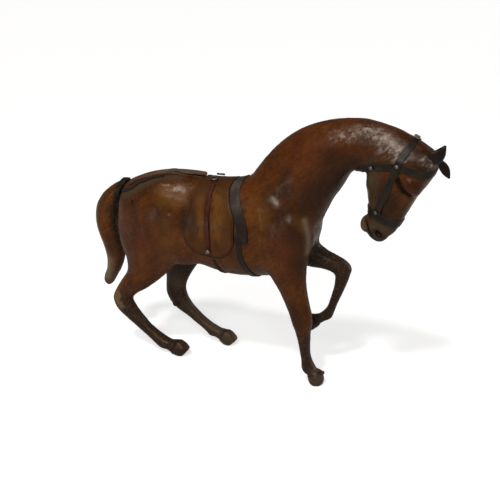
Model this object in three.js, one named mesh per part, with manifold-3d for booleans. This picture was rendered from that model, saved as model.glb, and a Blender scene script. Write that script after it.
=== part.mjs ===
import * as THREE from 'three';
import { mergeVertices } from 'three/addons/utils/BufferGeometryUtils.js';
import Module from 'manifold-3d';

const wasm = await Module();
wasm.setup();

// A standing horse covered in leather, right foreleg down and left foreleg raised, with saddle and bridle.
// Millimetres. +X is the horse's forward, +Y its left, +Z up, and the soles stand on z = 0.

// Size of the figure
const horseHeight = 335; // sole to crest
const drawnHeight = 335; // the height at which the stations and routes below are written
const toSize = horseHeight / drawnHeight;
const soleLevel = 1 * toSize; // where the soles are cut flat, on the drawing's own z

// Leather, clearances and fittings
const clearance = 0.6; // between the skin, or one strap, and what lies on it
const strapThickness = 1.3;
const saddleThickness = 1.5;
const surcingleWidth = 13;
const frontGirthWidth = 7.5;
const rearGirthWidth = 4;
const stirrupLeatherWidth = 6.5;
const crupperWidth = 12; // under the saddle
const crupperRearWidth = 44; // over the tail
const forkWidth = 5;
const dockWidth = 9;
const dockThickness = 2.6;
const dockLift = 0.9; // the loop stands off the tail, whose facets are coarse
const tongueThickness = 1.8;
const tongueWidth = 19;
const bridleWidth = 8;
const browbandWidth = 8.5;
const nosebandWidth = 9.5;
const seam = 1.2; // between the edges of two pieces side by side
const studRadius = 3.1;
const studHeight = 1.9;
const smallStudRadius = 2.3;
const smallStudHeight = 1.4;
const buckleLength = 7;
const buckleBreadth = 7.5;
const buckleBar = 1.3;
const ringRadius = 4.2;
const ringWire = 1.3;
const earThickness = 3;
const earHollow = 1.6; // how far the ear's edges stand forward of its middle
const rootClearance = 0.4; // between the body and the ears or tail set against it

// Fineness of the facets
const trunkStep = 8; // between the sections of a strap on the trunk
const headStep = 6;
const crupperStep = 12;
const rowSpacing = 9; // the most between the rows of points along a strap
const cellsAcrossSaddle = 5;
const cellsAroundSaddle = 26;

// Stations of the limbs. Each is one rib of the side view: x and z of its top or front edge,
// x and z of its bottom or back edge, half of its width, and how far it sits to the horse's left.
const trunkStations = [
  [-193, 216, -190, 206, 4, 0], // dock
  [-189, 224, -186, 188, 15, 0],
  [-180, 231, -178, 166, 27, 0], // point of the buttock
  [-165, 238, -163, 150, 34.5, 0],
  [-145, 245, -143, 141, 38.5, 0], // croup
  [-122, 249, -119, 139, 39.5, 0],
  [-98, 249.5, -96, 138, 38.5, 0], // loin
  [-74, 247, -71, 132, 39.5, 0],
  [-50, 246.5, -47, 127, 41, 0], // middle of the back
  [-25, 248.5, -22, 125, 41, 0],
  [0, 248.5, 2, 127, 39, 0], // withers
  [24, 243, 27, 132, 36.5, 0],
  [46, 232, 48, 141, 34, 0], // shoulder
  [61, 219, 60, 153, 30, 0],
  [72, 207, 70.5, 168, 20, 0], // breast
  [76.5, 196, 75.5, 180, 9, 0],
];
const neckStations = [
  [-40, 235, 28, 152, 20, 0], // inside the trunk
  [-12, 250, 74, 186, 30, 0], // withers to breast
  [5, 271, 82.5, 204, 31, 0],
  [27, 296, 91, 221, 30, 0],
  [51, 315, 99.5, 239, 27.5, 0],
  [77, 327, 109, 254, 25, 0], // middle of the neck
  [104, 333.5, 116, 268, 23, 0],
  [130, 335, 125, 276, 22, 0], // throat
  [155, 331, 138, 275, 21.5, 0],
  [178, 323.5, 152, 271, 21, 0], // poll
  [196, 314, 166, 268, 19, 0],
  [208, 303, 180, 266, 15, 0],
  [212, 292, 192, 266, 9, 0],
];
const headStations = [
  [211, 304, 190, 312, 7, 0], // poll
  [216, 294, 176, 305, 15, 0], // forehead
  [215, 283, 163, 297, 19.5, 0],
  [210, 271, 147, 284, 22, 0], // eye and cheek
  [203, 260, 138, 269, 22.5, 0],
  [197, 251, 138.5, 254, 21, 0],
  [191.5, 240, 140.5, 241, 18.5, 0],
  [186.5, 229.5, 141.5, 231, 16, 0], // chin groove
  [181, 218.5, 140.5, 221, 14.5, 0],
  [175, 208, 139.5, 212, 14.5, 0], // nostril
  [168.5, 201.5, 140.5, 205.5, 14, 0],
  [161.5, 196.8, 144, 200.5, 11.5, 0], // lips
  [155.5, 195.2, 148, 197.5, 5, 0],
];
const rightForelegStations = [
  [70, 205, 10, 215, 12, -17], // inside the shoulder
  [79, 188, 8, 192, 17, -18],
  [79, 172, 12, 168, 18.5, -19], // elbow
  [75, 154, 22, 149, 17.5, -21],
  [75, 138, 30, 137, 16, -22.5], // forearm
  [77.5, 122, 40.5, 122, 14.5, -23.5],
  [81, 107, 49, 107, 12.7, -24.5],
  [85, 93, 55, 92, 11.7, -25], // above the knee
  [85.7, 82, 59.5, 80, 11.7, -25], // knee
  [84, 70, 64, 69, 10, -25],
  [84, 55, 68, 53, 8.6, -25], // cannon
  [84.5, 41, 71, 40, 8, -25],
  [87, 31.5, 73, 29, 8.6, -25],
  [90, 25.5, 74, 20, 8.6, -25], // fetlock
  [94, 21, 78, 14, 8.2, -25], // pastern
  [100, 20, 81, 12, 9.4, -25], // coronet
  [103, 13, 82, 7.5, 10.3, -25],
  [103.5, 6, 83.5, 3.5, 10.3, -25], // hoof
  [101, -1, 86, -1, 8.5, -25], // sole
];
const leftForelegStations = [
  [56, 205, 10, 200, 12, 17], // inside the shoulder
  [66, 190, 14, 170, 16, 18],
  [71, 176, 36, 146, 16, 20], // elbow
  [85, 164, 62, 139.5, 14.5, 23], // forearm
  [102, 156, 82, 138, 12.5, 25],
  [112, 150, 93, 134.5, 11.5, 26],
  [118.3, 142, 96.5, 131, 11, 26], // knee
  [116.5, 132, 97, 126.5, 10.5, 26],
  [113, 120, 96, 117, 9, 26], // cannon
  [108, 106, 93, 104, 8, 26],
  [103, 93, 90, 93.5, 7.6, 26],
  [98.5, 80, 87, 85, 8, 26],
  [94.5, 70.5, 81, 77, 8.5, 26], // fetlock
  [87, 65, 75.5, 73, 7.8, 26], // pastern
  [81, 59.5, 70, 71.5, 8.8, 26], // coronet
  [74, 51, 61, 68, 10.2, 26], // hoof
  [67, 46.5, 55, 62, 10, 26],
  [63, 46.5, 53.5, 58, 8, 26], // toe
];
const rightHindlegStations = [
  [-108, 235, -160, 232, 14, -15], // inside the croup
  [-95, 205, -183, 213, 22, -17],
  [-88, 172, -190.5, 180, 22.5, -19], // thigh
  [-92, 148, -187.5, 152, 20.5, -20.5], // stifle
  [-107, 128, -179, 131, 17, -22],
  [-128, 107, -177.5, 114, 14, -24], // gaskin
  [-146, 92, -187, 99, 11.7, -25],
  [-163, 81, -196, 85, 10.2, -25], // above the hock
  [-172, 71, -202.5, 70, 10, -25], // hock
  [-167.5, 61.5, -197, 54.5, 9.6, -25],
  [-160, 52, -181, 41, 8.6, -25], // cannon
  [-150, 41, -164, 29.5, 8, -25],
  [-137, 31, -150, 20, 8, -25],
  [-126, 24, -138.5, 11.5, 8.6, -25], // fetlock
  [-118, 21, -128.5, 5.5, 8.8, -25],
  [-111, 21, -120.5, 4.5, 8.3, -25], // pastern
  [-104, 22.5, -114.5, 1.5, 9.3, -25], // coronet
  [-96, 21, -108.5, -2, 10.2, -25], // hoof
  [-89, 15, -102, -2.5, 9.6, -25],
  [-87.5, 12.5, -99.5, -2, 7.5, -25], // toe
];
const leftHindlegStations = [
  [-108, 235, -160, 232, 14, 15], // inside the croup
  [-93, 205, -183, 213, 22, 17],
  [-80, 172, -186, 180, 22.5, 19], // thigh
  [-77, 148, -176, 152, 20.5, 21.5], // stifle
  [-88, 128, -163, 131, 17, 24],
  [-103, 108, -153, 110, 14, 26.5], // gaskin
  [-113, 92, -148.5, 94, 11.7, 28],
  [-118.5, 77, -149.5, 77, 10.2, 28.5], // above the hock
  [-116.5, 64, -148.5, 62, 10, 28.5], // hock
  [-109, 52, -138, 47, 9.4, 28.5],
  [-100, 43.5, -117, 34.5, 8.5, 28.5], // cannon
  [-90, 35, -102, 24.5, 8, 28.5],
  [-78, 27.5, -89, 16.5, 8, 28.5], // fetlock
  [-70, 24, -81, 9.8, 8.6, 28.5],
  [-64, 22.5, -74, 8.5, 8.3, 28.5], // pastern
  [-57, 22.7, -67.5, 5.5, 9.3, 28.5], // coronet
  [-49.5, 21.5, -62, -1, 10.2, 28.5], // hoof
  [-42, 14, -55.5, -2, 9.6, 28.5],
  [-40.5, 11.5, -53, -1.5, 7.5, 28.5], // toe
];
const tailStations = [
  [-186, 230, -182, 212, 7, 0], // dock
  [-198, 228, -193, 209, 9.5, 0],
  [-211, 221, -199, 201, 11.5, 0],
  [-225, 208.5, -202, 192, 13, 0], // top of the bend
  [-234.5, 193, -203, 183, 14.5, 0],
  [-237.5, 177, -204, 173.5, 15.5, 0],
  [-236.5, 161, -205.5, 163, 15.5, 0], // widest
  [-232, 146, -202, 149, 14.5, 0],
  [-227, 130, -198, 132, 13, 0],
  [-224.5, 115, -199, 117, 11.5, 0],
  [-226, 101, -205, 101.5, 10, 0],
  [-231, 90, -213, 88, 8.5, 0],
  [-233, 80, -219, 78, 6.5, 0],
  [-229, 74, -224, 73.5, 3, 0], // tip
];

// Muscles and carving as ellipsoids on both sides: centre, radii, tilt in degrees in the side view,
// how softly each runs into the body, and whether it adds or carves.
const carving = [
  { at: [52, 22, 196], radii: [24, 15, 34], tilt: -18, soft: 14, adds: true },
  { at: [59, 17, 187], radii: [14, 13, 20], tilt: 0, soft: 12, adds: true },
  { at: [-118, 22, 196], radii: [32, 18, 44], tilt: 8, soft: 16, adds: true },
  { at: [-92, 24, 158], radii: [22, 17, 24], tilt: 30, soft: 14, adds: true },
  { at: [160, 11, 268], radii: [19, 13, 19], tilt: 0, soft: 7, adds: true },
  { at: [190, 12, 268], radii: [14, 11, 10], tilt: -50, soft: 4, adds: true },
  { at: [178, 22, 243], radii: [7, 6, 20], tilt: -25, soft: 6, adds: false },
  { at: [158, 10, 204], radii: [9, 8, 8], tilt: 0, soft: 4, adds: true },
  { at: [12, 40, 222], radii: [7, 6, 26], tilt: 20, soft: 10, adds: false },
];
const chin = { at: [142.5, 0, 213.5], radii: [9.5, 8.5, 11.5], tilt: -20, soft: 4 };

// Small cuts through the finished body, on both sides
const cuts = [
  { name: 'nostril', at: [158.5, 16, 206], radii: [5.2, 3.4, 2.8], tilt: 35 },
  { name: 'eye slit', at: [183, 24.6, 264.5], radii: [11.5, 4.2, 1.3], tilt: -57 },
  { name: 'mouth', at: [149, 12, 206], radii: [7, 9, 1.1], tilt: 62 },
];

// Curves and ribs

function sized(values) {
  return values.map((value) => value * toSize);
}

function catmullRom(before, from, to, after, share) {
  const square = share * share;
  const cube = square * share;
  return 0.5 * (2 * from + (to - before) * share
    + (2 * before - 5 * from + 4 * to - after) * square
    + (3 * from - before - 3 * to + after) * cube);
}

function smoothed(rows, perSpan) {
  // The rows with perSpan - 1 more between each pair, on a smooth curve through all of them
  const last = rows.length - 1;
  const ahead = rows[0].map((value, i) => 2 * value - rows[1][i]);
  const behind = rows[last].map((value, i) => 2 * value - rows[last - 1][i]);
  const all = [ahead, ...rows, behind];
  const result = [];
  for (let span = 0; span < last; span++) {
    for (let step = 0; step < perSpan; step++) {
      const share = step / perSpan;
      result.push(rows[0].map((_, i) => catmullRom(
        all[span][i], all[span + 1][i], all[span + 2][i], all[span + 3][i], share,
      )));
    }
  }
  result.push(rows[last]);
  return result;
}

function ribFrom([upperX, upperZ, lowerX, lowerZ, halfWidth, side], trim) {
  const reach = Math.hypot(upperX - lowerX, upperZ - lowerZ) / 2;
  return {
    x: (upperX + lowerX) / 2,
    z: (upperZ + lowerZ) / 2,
    y: side,
    reach: reach - trim,
    upX: (upperX - lowerX) / (2 * reach),
    upZ: (upperZ - lowerZ) / (2 * reach),
    halfWidth,
  };
}

function limb(drawn, { square, taper = 0, trim = 0, sides, perSpan, soft }) {
  // Ribs dense enough for distances, with the direction in which each rib faces along the limb
  const fineSpans = 4;
  const stations = drawn.map(sized);
  const ribs = smoothed(stations, fineSpans).map((row) => ribFrom(row, trim * toSize));
  ribs.forEach((rib, i) => {
    const next = ribs[Math.min(i + 1, ribs.length - 1)];
    const from = i + 1 < ribs.length ? rib : ribs[i - 1];
    const ahead = rib.upZ * (next.x - from.x) - rib.upX * (next.z - from.z);
    const sign = ahead < 0 ? -1 : 1;
    rib.alongX = rib.upZ * sign;
    rib.alongZ = -rib.upX * sign;
  });
  return { stations, square, taper, trim: trim * toSize, sides, perSpan, soft: soft * toSize, ribs };
}

// Distances: how far a point is outside the skin, negative inside

function distanceToRib(rib, form, x, y, z, past) {
  // A superellipse across the rib, narrowing towards its upper edge by the limb's taper
  const up = (x - rib.x) * rib.upX + (z - rib.z) * rib.upZ;
  const aside = y - rib.y;
  const upShare = up / rib.reach;
  const narrowing = 1 - form.taper * Math.min(Math.max(upShare, -1), 1);
  const sideShare = aside / rib.halfWidth / narrowing;
  const power = form.square;
  const fraction = (Math.abs(upShare) ** power + Math.abs(sideShare) ** power) ** (1 / power);
  const deepest = -Math.min(rib.reach, rib.halfWidth);
  const radial = fraction < 0.02 ? deepest : Math.hypot(up, aside) * (1 - 1 / fraction);
  return past > 0 ? Math.hypot(Math.max(radial, 0), past) : radial;
}

function distanceToLimb(form, x, y, z) {
  const { ribs } = form;
  let best = Infinity;
  let previous = 0;
  for (let i = 0; i < ribs.length; i++) {
    const rib = ribs[i];
    const beyond = (x - rib.x) * rib.alongX + (z - rib.z) * rib.alongZ;
    if (i === 0 && beyond < 0) {
      best = Math.min(best, distanceToRib(rib, form, x, y, z, -beyond));
    }
    if (i === ribs.length - 1 && beyond >= 0) {
      best = Math.min(best, distanceToRib(rib, form, x, y, z, beyond));
    }
    if (i > 0 && previous >= 0 && beyond < 0) {
      const share = previous / (previous - beyond);
      const between = ribBetween(ribs[i - 1], rib, share);
      best = Math.min(best, distanceToRib(between, form, x, y, z, 0));
    }
    previous = beyond;
  }
  return best;
}

function ribBetween(first, second, share) {
  const mixed = {};
  for (const key of ['x', 'y', 'z', 'reach', 'upX', 'upZ', 'halfWidth']) {
    mixed[key] = first[key] + (second[key] - first[key]) * share;
  }
  const length = Math.hypot(mixed.upX, mixed.upZ);
  mixed.upX /= length;
  mixed.upZ /= length;
  return mixed;
}

function distanceToEllipsoid({ at, radii, tilt }, x, y, z) {
  const angle = THREE.MathUtils.degToRad(tilt);
  const dx = x - at[0];
  const dz = z - at[2];
  const local = [
    dx * Math.cos(angle) + dz * Math.sin(angle),
    y - at[1],
    dz * Math.cos(angle) - dx * Math.sin(angle),
  ];
  const size = Math.hypot(...local.map((value, i) => value / radii[i]));
  const slope = Math.hypot(...local.map((value, i) => value / radii[i] ** 2));
  return size * (size - 1) / Math.max(slope, 1e-6);
}

function softMin(a, b, soft) {
  // The smaller of two distances, with the crease between them filled over the soft width
  const near = Math.max(soft - Math.abs(a - b), 0) / soft;
  return Math.min(a, b) - near * near * soft / 4;
}

// The limbs of the body

const limbs = {
  trunk: limb(trunkStations, { square: 2.25, taper: 0.1, sides: 20, perSpan: 2, soft: 1 }),
  neck: limb(neckStations, { square: 2.2, taper: 0.16, sides: 16, perSpan: 2, soft: 14 }),
  head: limb(headStations, { square: 2.5, taper: -0.05, trim: 0.8, sides: 15, perSpan: 2, soft: 9 }),
  rightForeleg: limb(rightForelegStations, { square: 2.15, trim: 0.8, sides: 12, perSpan: 1, soft: 10 }),
  leftForeleg: limb(leftForelegStations, { square: 2.15, trim: 0.8, sides: 12, perSpan: 1, soft: 10 }),
  rightHindleg: limb(rightHindlegStations, { square: 2.15, trim: 0.8, sides: 12, perSpan: 1, soft: 12 }),
  leftHindleg: limb(leftHindlegStations, { square: 2.15, trim: 0.8, sides: 12, perSpan: 1, soft: 12 }),
};
const tailForm = limb(tailStations, { square: 2.1, trim: 0.4, sides: 12, perSpan: 1, soft: 5 });
const dockSkin = (x, y, z) => Math.min(skin(x, y, z), distanceToLimb(tailForm, x, y, z));

function mirrored(item) {
  return { ...item, at: [item.at[0], -item.at[1], item.at[2]] };
}

function sizedLump(item) {
  return { ...item, at: sized(item.at), radii: sized(item.radii), soft: item.soft * toSize };
}

const lumps = [chin, ...carving.flatMap((item) => [item, mirrored(item)])].map(sizedLump);

function skin(x, y, z) {
  // Distance from the horse's skin
  let result = horseHeight;
  for (const form of Object.values(limbs)) {
    result = softMin(result, distanceToLimb(form, x, y, z), form.soft);
  }
  for (const lump of lumps) {
    const gap = distanceToEllipsoid(lump, x, y, z);
    result = lump.adds === false ? -softMin(-result, gap, lump.soft) : softMin(result, gap, lump.soft);
  }
  return result;
}

function slopeAt(point, field) {
  // The distance at a point, and its slope along each axis
  const step = 0.4;
  const here = field(point.x, point.y, point.z);
  const slope = new THREE.Vector3(
    field(point.x + step, point.y, point.z) - here,
    field(point.x, point.y + step, point.z) - here,
    field(point.x, point.y, point.z + step) - here,
  ).divideScalar(step);
  return { here, slope };
}

function settle(point, lift, field = skin) {
  // Moves a point straight in or out until it is the lift above the skin
  const leastSteepness = 0.15;
  const rounds = 6;
  const settled = point.clone();
  for (let round = 0; round < rounds; round++) {
    const { here, slope } = slopeAt(settled, field);
    const steepness = Math.max(slope.lengthSq(), leastSteepness);
    settled.addScaledVector(slope, (lift - here) / steepness);
  }
  return settled;
}

// Meshes

function solidFrom(points, faces) {
  // A closed geometry with its faces turned outwards
  const geometry = new THREE.BufferGeometry().setFromPoints(points);
  geometry.setIndex(volumeOf(points, faces) < 0 ? faces.flatMap(([a, b, c]) => [a, c, b]) : faces.flat());
  return geometry;
}

function volumeOf(points, faces) {
  return faces.reduce((sum, [a, b, c]) => (
    sum + points[a].dot(new THREE.Vector3().crossVectors(points[b], points[c])) / 6
  ), 0);
}

function rings(sections, closed) {
  // Faces around a run of sections with the same number of points, with a fan at each open end
  const points = sections.flat();
  const count = sections[0].length;
  const faces = [];
  const spans = closed ? sections.length : sections.length - 1;
  for (let i = 0; i < spans; i++) {
    const here = i * count;
    const next = ((i + 1) % sections.length) * count;
    for (let j = 0; j < count; j++) {
      const k = (j + 1) % count;
      faces.push([here + j, next + j, next + k], [here + j, next + k, here + k]);
    }
  }
  if (!closed) {
    for (const end of [0, sections.length - 1]) {
      const centre = new THREE.Vector3();
      sections[end].forEach((point) => centre.addScaledVector(point, 1 / count));
      points.push(centre);
      for (let j = 0; j < count; j++) {
        const pair = [end * count + j, end * count + (j + 1) % count];
        faces.push(end === 0 ? [pair[0], pair[1], points.length - 1] : [pair[1], pair[0], points.length - 1]);
      }
    }
  }
  return solidFrom(points, faces);
}

function limbSection(rib, form) {
  const section = [];
  for (let j = 0; j < form.sides; j++) {
    const angle = (j + 0.5) / form.sides * 2 * Math.PI;
    const power = 2 / form.square;
    const up = Math.sign(Math.cos(angle)) * Math.abs(Math.cos(angle)) ** power;
    const aside = Math.sign(Math.sin(angle)) * Math.abs(Math.sin(angle)) ** power * (1 - form.taper * up);
    section.push(new THREE.Vector3(
      rib.x + rib.upX * rib.reach * up,
      rib.y + rib.halfWidth * aside,
      rib.z + rib.upZ * rib.reach * up,
    ));
  }
  return section;
}

function limbGeometry(form) {
  const rows = smoothed(form.stations, form.perSpan);
  return rings(rows.map((row) => limbSection(ribFrom(row, form.trim), form)), false);
}

function settleAll(geometry, lift) {
  // Every point of a joined body moved the short way onto the skin, which rounds the creases between limbs
  const settled = geometry.clone();
  const positions = settled.attributes.position;
  for (let i = 0; i < positions.count; i++) {
    const point = settle(new THREE.Vector3().fromBufferAttribute(positions, i), lift);
    positions.setXYZ(i, point.x, point.y, point.z);
  }
  return settled;
}

function toSolid(geometry) {
  const bare = geometry.clone();
  bare.deleteAttribute('normal');
  bare.deleteAttribute('uv');
  const merged = mergeVertices(bare);
  return new wasm.Manifold(new wasm.Mesh({
    numProp: 3,
    vertProperties: new Float32Array(merged.attributes.position.array),
    triVerts: new Uint32Array(merged.index.array),
  }));
}

function toGeometry(solid) {
  const mesh = solid.getMesh();
  const geometry = new THREE.BufferGeometry();
  geometry.setAttribute('position', new THREE.Float32BufferAttribute(mesh.vertProperties, 3));
  geometry.setIndex(new THREE.Uint32BufferAttribute(mesh.triVerts, 1));
  return geometry;
}

function ellipsoid({ at, radii, tilt }) {
  const around = 12;
  const upwards = 8;
  const geometry = new THREE.SphereGeometry(1, around, upwards);
  geometry.scale(...radii);
  geometry.rotateY(-THREE.MathUtils.degToRad(tilt));
  geometry.translate(...at);
  return toSolid(geometry);
}

function joinedLimbs() {
  let body = ellipsoid(sizedLump(chin));
  for (const form of Object.values(limbs)) {
    body = body.add(toSolid(limbGeometry(form)));
  }
  return toGeometry(body);
}

// Straps

function route(points, closed, step) {
  // Drawn points [x, y, z, layers] as a smooth curve, each sample with the layers under it
  const places = points.map(([x, y, z]) => new THREE.Vector3(x, y, z).multiplyScalar(toSize));
  const curve = new THREE.CatmullRomCurve3(places, closed);
  const spans = closed ? points.length : points.length - 1;
  const samples = Math.max(Math.round(curve.getLength() / step), 4);
  const result = [];
  for (let i = 0; i <= samples - (closed ? 1 : 0); i++) {
    const share = i / samples;
    const span = Math.min(Math.floor(curve.getUtoTmapping(share) * spans), spans - 1);
    const within = curve.getUtoTmapping(share) * spans - span;
    const from = points[span][3] ?? 0;
    const to = points[(span + 1) % points.length][3] ?? 0;
    result.push({ point: curve.getPointAt(share), layers: from + (to - from) * within });
  }
  return result;
}

function strap(points, {
  width, rearWidth = width, thickness = strapThickness, closed = false, field = skin, base = 0,
  step = trunkStep,
}) {
  // A flat band that follows the skin: rows across its width, an inner and an outer face. Its width
  // grows evenly from its first point to its last.
  const layer = strapThickness + clearance;
  const samples = route(points, closed, step).map(({ point, layers }) => {
    const lift = clearance + base + layers * layer;
    return { lift, middle: settle(point, lift, field) };
  });
  const count = samples.length;
  const strapRows = Math.ceil(Math.max(width, rearWidth) / rowSpacing) + 1;
  const sections = samples.map(({ lift, middle }, i) => {
    const ahead = samples[closed ? (i + 1) % count : Math.min(i + 1, count - 1)].middle;
    const behind = samples[closed ? (i + count - 1) % count : Math.max(i - 1, 0)].middle;
    const along = ahead.clone().sub(behind).normalize();
    const outwards = slopeAt(middle, field).slope.normalize();
    const across = new THREE.Vector3().crossVectors(along, outwards).normalize();
    const widthHere = width + (rearWidth - width) * i / (count - 1);
    const inner = [];
    const outer = [];
    for (let row = 0; row < strapRows; row++) {
      const offset = widthHere * (row / (strapRows - 1) - 0.5);
      const place = middle.clone().addScaledVector(across, offset);
      inner.push(settle(place, lift, field));
      outer.unshift(settle(place, lift + thickness, field));
    }
    return [...inner, ...outer];
  });
  return rings(sections, closed);
}

function bothSides(points) {
  // A loop that crosses the middle at its first and last point, down the right side and up the left
  const left = points.slice(1, -1).reverse().map(([x, y, z, layers]) => [x, -y, z, layers]);
  return [...points, ...left];
}

function acrossMiddle(points) {
  // A run that crosses the middle at its last point and goes back the same way on the left
  return [...points, ...flipped(points.slice(0, -1)).reverse()];
}

function flipped(points) {
  return points.map(([x, y, z, layers]) => [x, -y, z, layers]);
}

// Routes of the straps on the right side: x, y, z near the skin, and the layers of strap beneath
const surcinglePoints = [
  [-2, -40, 182, 1.05], [-2, -40, 192, 1], [-5, -38, 205, 0.2], [-10, -36, 217, 0], [-16, -30, 231, 0],
  [-19.5, -20, 243, 0], [-17.5, 0, 252, 0],
];
const frontGirthPoints = [
  [-8, -41, 192], [-7, -40, 176], [-5, -38, 159], [-1, -32, 146], [4, -19, 134], [6, 0, 126],
];
const rearGirthPoints = [[-41.5, -38, 151.5], [-40, -32, 141], [-38, -20, 131], [-37, 0, 126]];
const stirrupPoints = [
  [-50, -17, 243], [-50, -29, 227], [-49, -36, 208], [-47.5, -40, 190], [-46.5, -41, 170],
];
const crupperPoints = [
  [-71, 0, 247], [-90, 0, 249], [-110, 0, 249], [-130, 0, 248], [-149, 0, 243], [-165, 0, 238],
  [-177, 0, 233],
];
const forkPoints = [
  [-120, -17, 246.5], [-136, -20.2, 242], [-152, -23, 236], [-166, -25.2, 227], [-177, -21.5, 223],
  [-184, -16, 221],
];
const dockPoints = [
  [-188, 0, 231], [-189.5, -10, 227], [-193.5, -14, 217.5], [-197, -9, 207], [-197, 0, 203],
];
const crownPoints = [
  [156, -15, 230, 1.05], [157, -16, 238, 1], [164, -21, 256, 0.1], [170, -22, 273, 0], [174.5, -21, 284, 1],
  [177.5, -21, 294, 1], [182, -18, 303, 0.1], [189, -10, 314, 0], [192, 0, 318, 0],
];
const browbandPoints = [
  [214, 0, 283], [206, -17, 281], [193, -21, 284.5], [177, -22, 288], [157, -21, 287], [142, -18, 285],
  [131, -9, 280], [128, 0, 279],
];
const nosebandPoints = [
  [182, 0, 219], [174, -13, 221], [165, -15, 224], [155, -15, 228], [146, -12, 230.5], [138, 0, 233],
];

// Saddle

const saddleAxis = 185 * toSize; // height of the line from which places around the trunk are measured
const saddleDrop = 127; // degrees from the ridge down to the saddle's lowest edge
const saddleRear = -68 * toSize; // its rear edge on the ridge
const saddleSpread = 14 * toSize; // how much further back the rear edge is at its widest
const saddleRoundFrom = 0.74; // the share of the way down at which the lower edge starts to round
const saddleRoundness = 1.9;
const underSaddle = clearance + 0.4; // more room, because the saddle's own facets cut its curve short

function aroundTrunk([x, y, z]) {
  return { x: x * toSize, angle: Math.atan2(Math.abs(y) * toSize, z * toSize - saddleAxis) };
}

function rearEdgeOf(points, width, angle) {
  // The rear edge of a strap that runs around the trunk, at an angle from upright
  const stops = points.map(aroundTrunk).sort((a, b) => a.angle - b.angle);
  const next = stops.findIndex((stop) => stop.angle >= angle);
  if (next === 0 || next === -1) {
    return next === 0 ? stops[0].x - width / 2 : Infinity;
  }
  const [low, high] = [stops[next - 1], stops[next]];
  return low.x + (high.x - low.x) * (angle - low.angle) / (high.angle - low.angle) - width / 2;
}

function saddleEnds(around) {
  // Where the saddle starts and ends at a share of the way down, behind the straps in front of it
  const share = Math.abs(around);
  const angle = THREE.MathUtils.degToRad(saddleDrop) * share;
  const straps = [
    rearEdgeOf(surcinglePoints, surcingleWidth, angle),
    rearEdgeOf(frontGirthPoints, frontGirthWidth, angle),
  ];
  const front = Math.min(...straps) - seam;
  const rear = saddleRear - saddleSpread * Math.min(share / saddleRoundFrom, 1);
  const past = Math.max(share - saddleRoundFrom, 0) / (1 - saddleRoundFrom);
  const half = (front - rear) / 2 * (1 - past ** saddleRoundness) ** (1 / saddleRoundness);
  return { angle: Math.sign(around) * angle, middle: (front + rear) / 2, half };
}

function ontoSkin(x, angle, lift) {
  // Where the ray from the trunk's axis at an angle from upright is the lift above the skin
  const halvings = 24;
  let low = 0;
  let high = horseHeight / 3;
  for (let i = 0; i < halvings; i++) {
    const middle = (low + high) / 2;
    if (skin(x, Math.sin(angle) * middle, saddleAxis + Math.cos(angle) * middle) > lift) {
      high = middle;
    } else {
      low = middle;
    }
  }
  return new THREE.Vector3(x, Math.sin(angle) * low, saddleAxis + Math.cos(angle) * low);
}

function saddleGeometry() {
  // Sections from the lowest edge on the right over the back to the lowest edge on the left
  const sections = [];
  const endShare = 0.985; // stops just short of the lowest edge, where the section would be a line
  for (let i = 0; i <= cellsAroundSaddle; i++) {
    const even = 2 * i / cellsAroundSaddle - 1;
    const around = endShare * (even + Math.sin(even * Math.PI / 2)) / 2;
    const { angle, middle, half } = saddleEnds(around);
    const places = [];
    for (let j = 0; j <= cellsAcrossSaddle; j++) {
      places.push(middle + half * (2 * j / cellsAcrossSaddle - 1));
    }
    const inner = places.map((x) => ontoSkin(x, angle, underSaddle));
    const outer = places.map((x) => ontoSkin(x, angle, underSaddle + saddleThickness)).reverse();
    sections.push([...inner, ...outer]);
  }
  return rings(sections, false);
}

// The raised tongue behind the saddle: a leaf that arches over the crupper strap

const tongueFrom = -112 * toSize;
const tongueTo = saddleRear - seam;
const tongueRise = 5; // at its middle
const tongueEnds = 0.45; // width of its ends as a share of the middle's
const tongueRounding = 0.6;
const backHeight = 247 * toSize;

function tongueGeometry() {
  const sections = [];
  const steps = 9;
  const rows = 3;
  for (let i = 0; i <= steps; i++) {
    const share = i / steps;
    const x = tongueFrom + (tongueTo - tongueFrom) * share;
    const arch = Math.sin(Math.PI * share);
    const half = tongueWidth / 2 * (tongueEnds + (1 - tongueEnds) * arch ** tongueRounding);
    const lift = 2 * clearance + strapThickness + tongueRise * arch;
    const inner = [];
    const outer = [];
    for (let row = 0; row <= rows; row++) {
      const aside = half * (2 * row / rows - 1);
      const angle = Math.atan2(aside, backHeight - saddleAxis);
      inner.push(ontoSkin(x, angle, lift));
      outer.unshift(ontoSkin(x, angle, lift + tongueThickness));
    }
    sections.push([...inner, ...outer]);
  }
  return rings(sections, false);
}

// Ears: two leaves, each a run of flat oval sections from root to tip

// Places along each ear with half of its width there, and the way its broad side lies
const earRight = {
  line: [[206, -9, 293, 8], [214, -9.5, 299, 8.5], [219, -9, 305, 6.5], [223.5, -8.5, 314, 1.2]],
  sideways: [0.85, 0.35, -0.45],
};
const earLeft = {
  line: [
    [209.5, 10.8, 294, 3.5], [215.5, 12.3, 290, 4], [219.8, 12.8, 285, 5.2], [223.5, 13.2, 279.3, 4.5],
    [227.5, 13, 273, 1.1],
  ],
  sideways: [0.3, 0.35, 0.95],
};

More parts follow.
